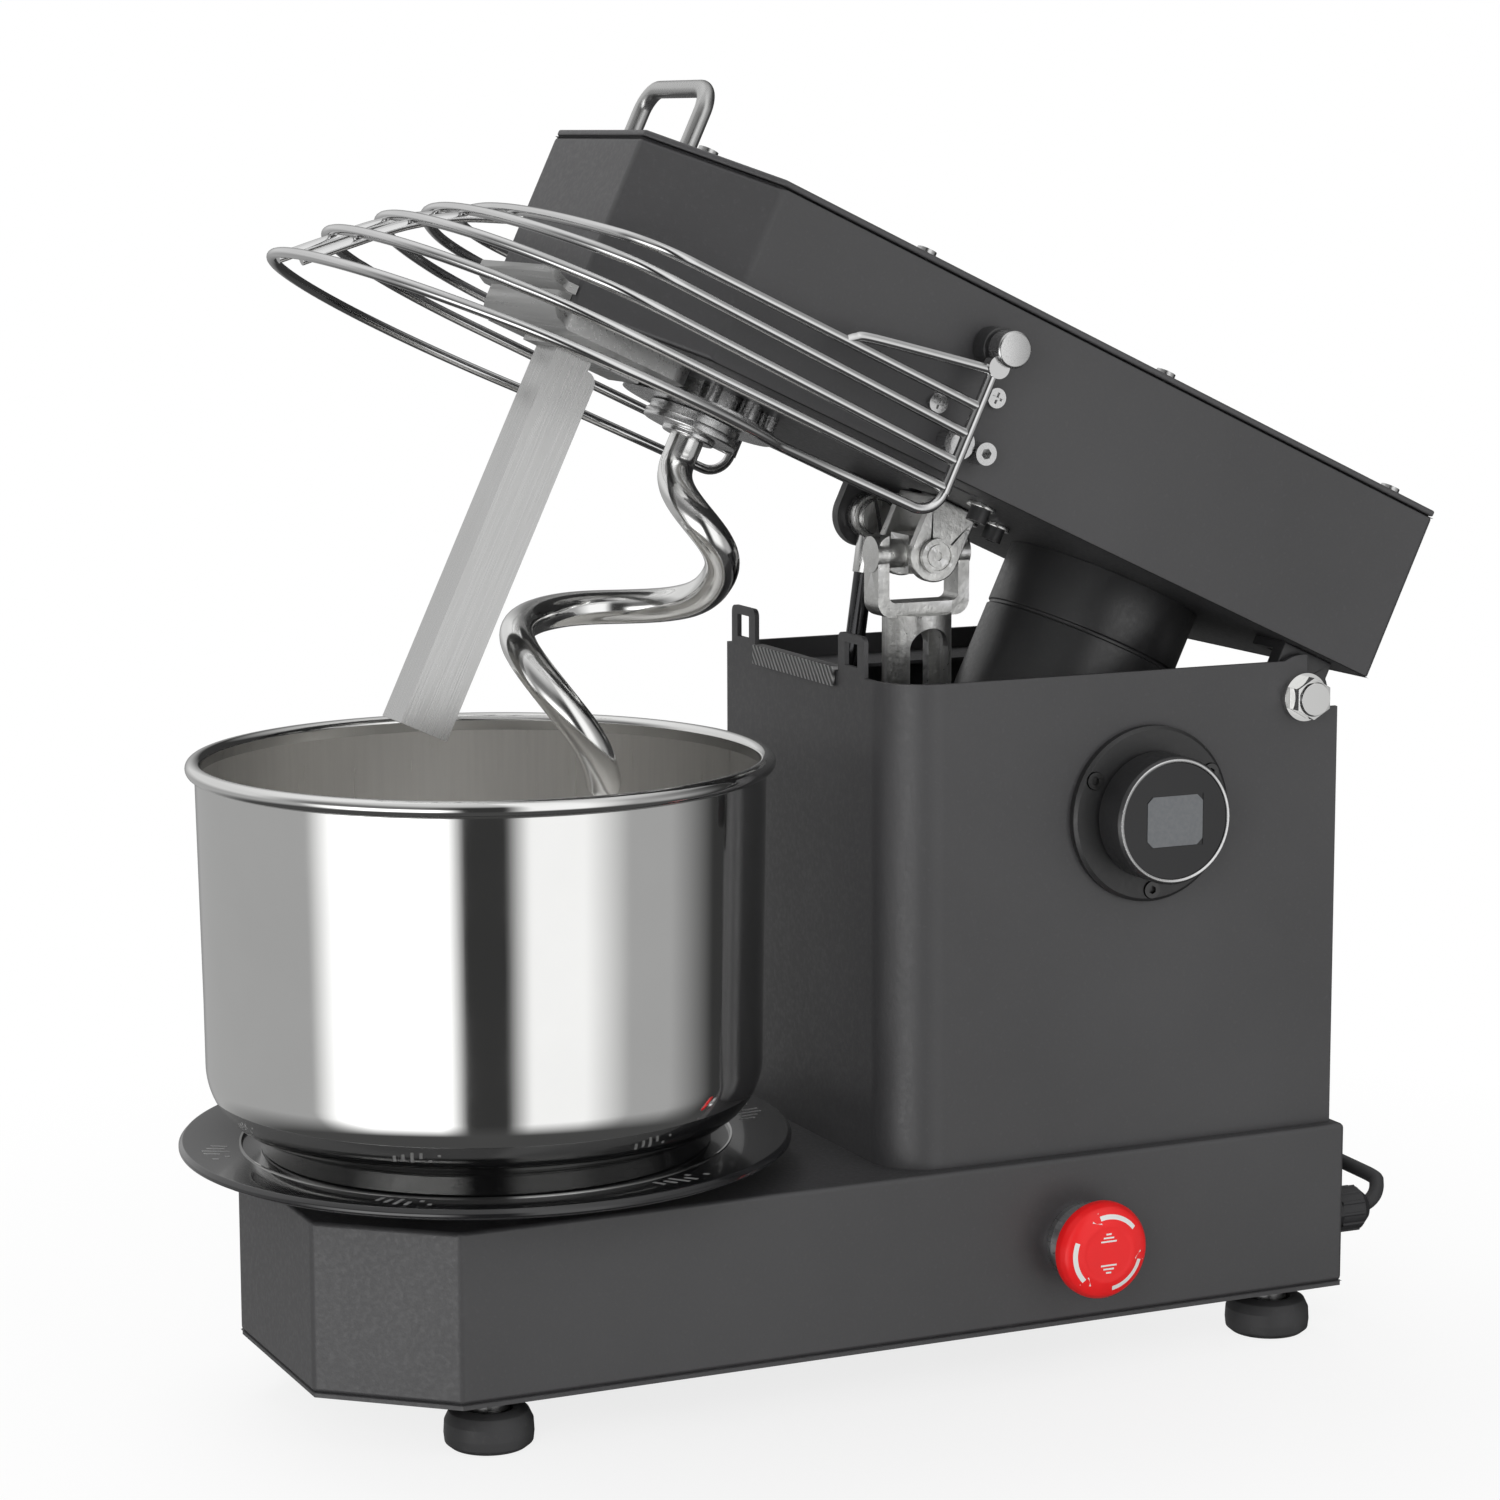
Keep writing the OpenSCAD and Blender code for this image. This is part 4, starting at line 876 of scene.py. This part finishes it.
# ---------------------------------------------------------------- feet
FOOT = [(9, 0.6), (9.6, 0), (15.0, 0), (17.3, 1.9), (17.7, 5.5), (17.4, 10.4), (15.6, 14.2),
        (11.6, 15.6), (9.8, 15.2), (8.9, 12.6), (4.2, 12.6), (4.2, 6), (9, 6)]
NECK = [(4.2, 12.7), (8.1, 12.7), (8.1, 15.0), (7.7, 15.3), (7.7, 18.6), (8.1, 18.9),
        (8.1, 21.3), (7.6, 21.8), (4.2, 21.8)]
feet, necks = [], []
for x, side in ((-64, "left"), (64, "right")):
    for y, end in ((-25, "front"), (328, "rear")):
        place = BASE @ move(x, y, 0)
        feet.append(lathe(f"foot_{side}_{end}", fillet(FOOT, 0.8, 3), place, 96))
        necks.append(lathe(f"foot_neck_{side}_{end}", fillet(NECK, 0.25, 2), place, 96))
fit(feet[0], "rubber", "base", "rubber_feet")
for foot in feet[1:]:
    fit(foot, "rubber", "base")
for neck in necks:
    fit(neck, "foot_neck", "base")

# ---------------------------------------------------------------- power cord
# leaves the rear, bends and then runs to the left
CORD_X, CORD_Y, CORD_Z = 70, 351, 50
CORD_STEPS = 44
path = [Vector((CORD_X, CORD_Y - 24, CORD_Z))]
for i in range(CORD_STEPS + 1):
    t = i / CORD_STEPS
    bent = min(1, t * 1.9)  # share of the bend
    run = max(0, (t - 0.42) / 0.58)  # share of the run
    a = rad(90 * bent)
    path.append(Vector((
        CORD_X - 14 * bent ** 3 - 120 * run,
        CORD_Y + 16 + 16 * math.sin(a) - 12 * math.sin(rad(90 * min(1, run * 3))),
        CORD_Z + 14 * (1 - math.cos(a)) + 3 * math.sin(rad(180 * run)) - 26 * run * run)))
path.append(path[-1] + Vector((-14, 0, 0)))
fit(make_object("power_cord_flex", tube(spline(path, 3), 3.1, (1, 0, 0), 24), BASE, 60),
    "rubber", "base", "power_cord")

# ---------------------------------------------------------------- floor (metres from here on)
bpy.ops.mesh.primitive_plane_add(size=14, location=(0, 0, CAD_BOX[0][2] - 0.0003))
floor = bpy.context.object
floor.name = "floor"
paper = MaterialNodes("floor_paper")
PAPER_DARK, PAPER_LIGHT = (0.87, 0.87, 0.87), (0.89, 0.89, 0.89)
paper.shade(Base_Color=paper.mix(paper.remap(paper.noise(scale=3, detail=2)),
                                 PAPER_DARK, PAPER_LIGHT),
            Roughness=0.75,
            Normal=paper.bump(paper.noise(scale=400, detail=2), strength=0.03, distance=0.0002))
# the paper fades to plain white away from the machine, and reflections see through it
geometry = paper.add("ShaderNodeNewGeometry")
distance = paper.add("ShaderNodeVectorMath", operation="LENGTH")
paper.link(geometry.outputs["Position"], distance.inputs[0])
fade = paper.remap(distance.outputs["Value"], to=(0.80, 1.0), span=(0.10, 0.60))
rays = paper.add("ShaderNodeLightPath")
white_share = paper.add("ShaderNodeMath", operation="MULTIPLY")
paper.link(rays.outputs["Is Camera Ray"], white_share.inputs[0])
paper.link(fade, white_share.inputs[1])
white = paper.add("ShaderNodeEmission")
white.inputs["Strength"].default_value = 1.0
faded, surface = paper.add("ShaderNodeMixShader"), paper.add("ShaderNodeMixShader")
clear = paper.add("ShaderNodeBsdfTransparent")
for node, sources in (
        (faded, (white_share.outputs[0], paper.shader.outputs[0], white.outputs[0])),
        (surface, (rays.outputs["Is Glossy Ray"], faded.outputs[0], clear.outputs[0]))):
    for i, source in enumerate(sources):
        paper.link(source, node.inputs[i])
paper.link(surface.outputs[0], paper.tree.nodes["Material Output"].inputs["Surface"])
floor.data.materials.append(paper.material)

# ---------------------------------------------------------------- world
# A studio seen only in reflections. Stops are (compass angle in degrees from +X towards +Y,
# grey level). The camera stands near -25, by the dark gap between two soft boxes.
PANEL, BRIGHT, GREY, DARK, REAR = 2.4, 1.1, 0.42, 0.04, 0.75
EYE_LEVEL = [
    (-180, GREY), (-95, GREY), (-70, PANEL), (-40, PANEL), (-28, DARK), (-12, DARK),
    (-2, BRIGHT), (20, BRIGHT), (40, GREY), (60, GREY), (85, DARK), (150, DARK), (180, GREY),
]
# higher up the brightest panel has ended and the rear wall is lighter
HIGH_LEVEL = [
    (-180, REAR), (-120, REAR), (-90, 0.18), (-45, 0.18), (-28, DARK), (-12, DARK),
    (-2, BRIGHT), (20, BRIGHT), (40, GREY), (85, DARK), (150, DARK), (180, REAR),
]
WHITE = (1, 1, 1)
BELOW = (0.07, 0.07, 0.07)  # seen steeply below
AMBIENT = (0.46, 0.46, 0.46)  # light on everything that isn't a reflection

world = bpy.data.worlds.new("studio")
bpy.context.scene.world = world
world.use_nodes = True
studio = Nodes(world.node_tree)
coordinates = studio.add("ShaderNodeTexCoord")
axes = studio.add("ShaderNodeSeparateXYZ")
compass = studio.add("ShaderNodeMath", operation="ARCTAN2")
studio.link(coordinates.outputs["Generated"], axes.inputs[0])
studio.link(axes.outputs["Y"], compass.inputs[0])
studio.link(axes.outputs["X"], compass.inputs[1])
around = studio.remap(compass.outputs[0], span=(-math.pi, math.pi))
height = axes.outputs["Z"]


def wall_ramp(stops):
    node = studio.add("ShaderNodeValToRGB")
    elements = node.color_ramp.elements
    for _ in stops[2:]:
        elements.new(0.5)
    for element, (degrees, _) in zip(elements, stops):
        element.position = (degrees + 180) / 360
    for element, (_, grey) in zip(elements, stops):
        element.color = (grey, grey, grey, 1)
    studio.link(around, node.inputs[0])
    return node.outputs[0]


eye_level, high_level = wall_ramp(EYE_LEVEL), wall_ramp(HIGH_LEVEL)
walls = studio.mix(studio.remap(height, span=(-0.10, 0.15)), eye_level, high_level)
walls = studio.mix(studio.remap(height, to=(0.0, 0.65), span=(0.45, 0.85)), walls, WHITE)
walls = studio.mix(studio.remap(height, span=(-0.36, -0.62)), walls, BELOW)
rays = studio.add("ShaderNodeLightPath")
lit = studio.mix(rays.outputs["Is Glossy Ray"], AMBIENT, walls)
seen = studio.mix(rays.outputs["Is Camera Ray"], lit, WHITE)
background = studio.tree.nodes["Background"]
studio.link(seen, background.inputs["Color"])
background.inputs["Strength"].default_value = 1.0


# ---------------------------------------------------------------- lights
def area(name, location, target, width, height, power):
    light = bpy.data.lights.new(name, "AREA")
    light.shape = "RECTANGLE"
    light.size, light.size_y, light.energy = width, height, power
    obj = bpy.data.objects.new(name, light)
    obj.location = location
    aim = Vector(target) - Vector(location)
    obj.rotation_euler = aim.to_track_quat("-Z", "Y").to_euler()
    bpy.context.scene.collection.objects.link(obj)


area("key", location=(1.5, -1.2, 0.75), target=(0, -0.1, 0.15), width=0.8, height=1.0, power=13)
area("side", location=(2.0, 1.0, 1.3), target=(0, 0.1, 0.3), width=1.8, height=1.8, power=9)
area("top", location=(-1.0, -0.1, 2.0), target=(0, 0, 0.2), width=1.6, height=1.6, power=26)
for obj in bpy.context.scene.objects:
    if obj.type == "LIGHT":
        obj.visible_glossy = False

# ---------------------------------------------------------------- camera
CAMERA_AT = (1.4662, -0.6931, 0.5050)
# compass angle from -Y towards +X, height angle and roll
azimuth, elevation, roll = rad(65.26), rad(8.84), rad(-0.16)
lens = bpy.data.cameras.new("camera")
lens.sensor_width = 36
lens.lens = 96.2232
lens.clip_end = 50
camera = bpy.data.objects.new("camera", lens)
back = Vector((math.sin(azimuth) * math.cos(elevation),
               -math.cos(azimuth) * math.cos(elevation), math.sin(elevation)))
level = Vector((math.cos(azimuth), math.sin(azimuth), 0))
upright = back.cross(level)
right = math.cos(roll) * level + math.sin(roll) * upright
up = -math.sin(roll) * level + math.cos(roll) * upright
camera.matrix_world = Matrix((*zip(right, up, back, CAMERA_AT), (0, 0, 0, 1)))
bpy.context.scene.collection.objects.link(camera)
bpy.context.scene.camera = camera
bpy.context.scene.view_settings.view_transform = "Standard"
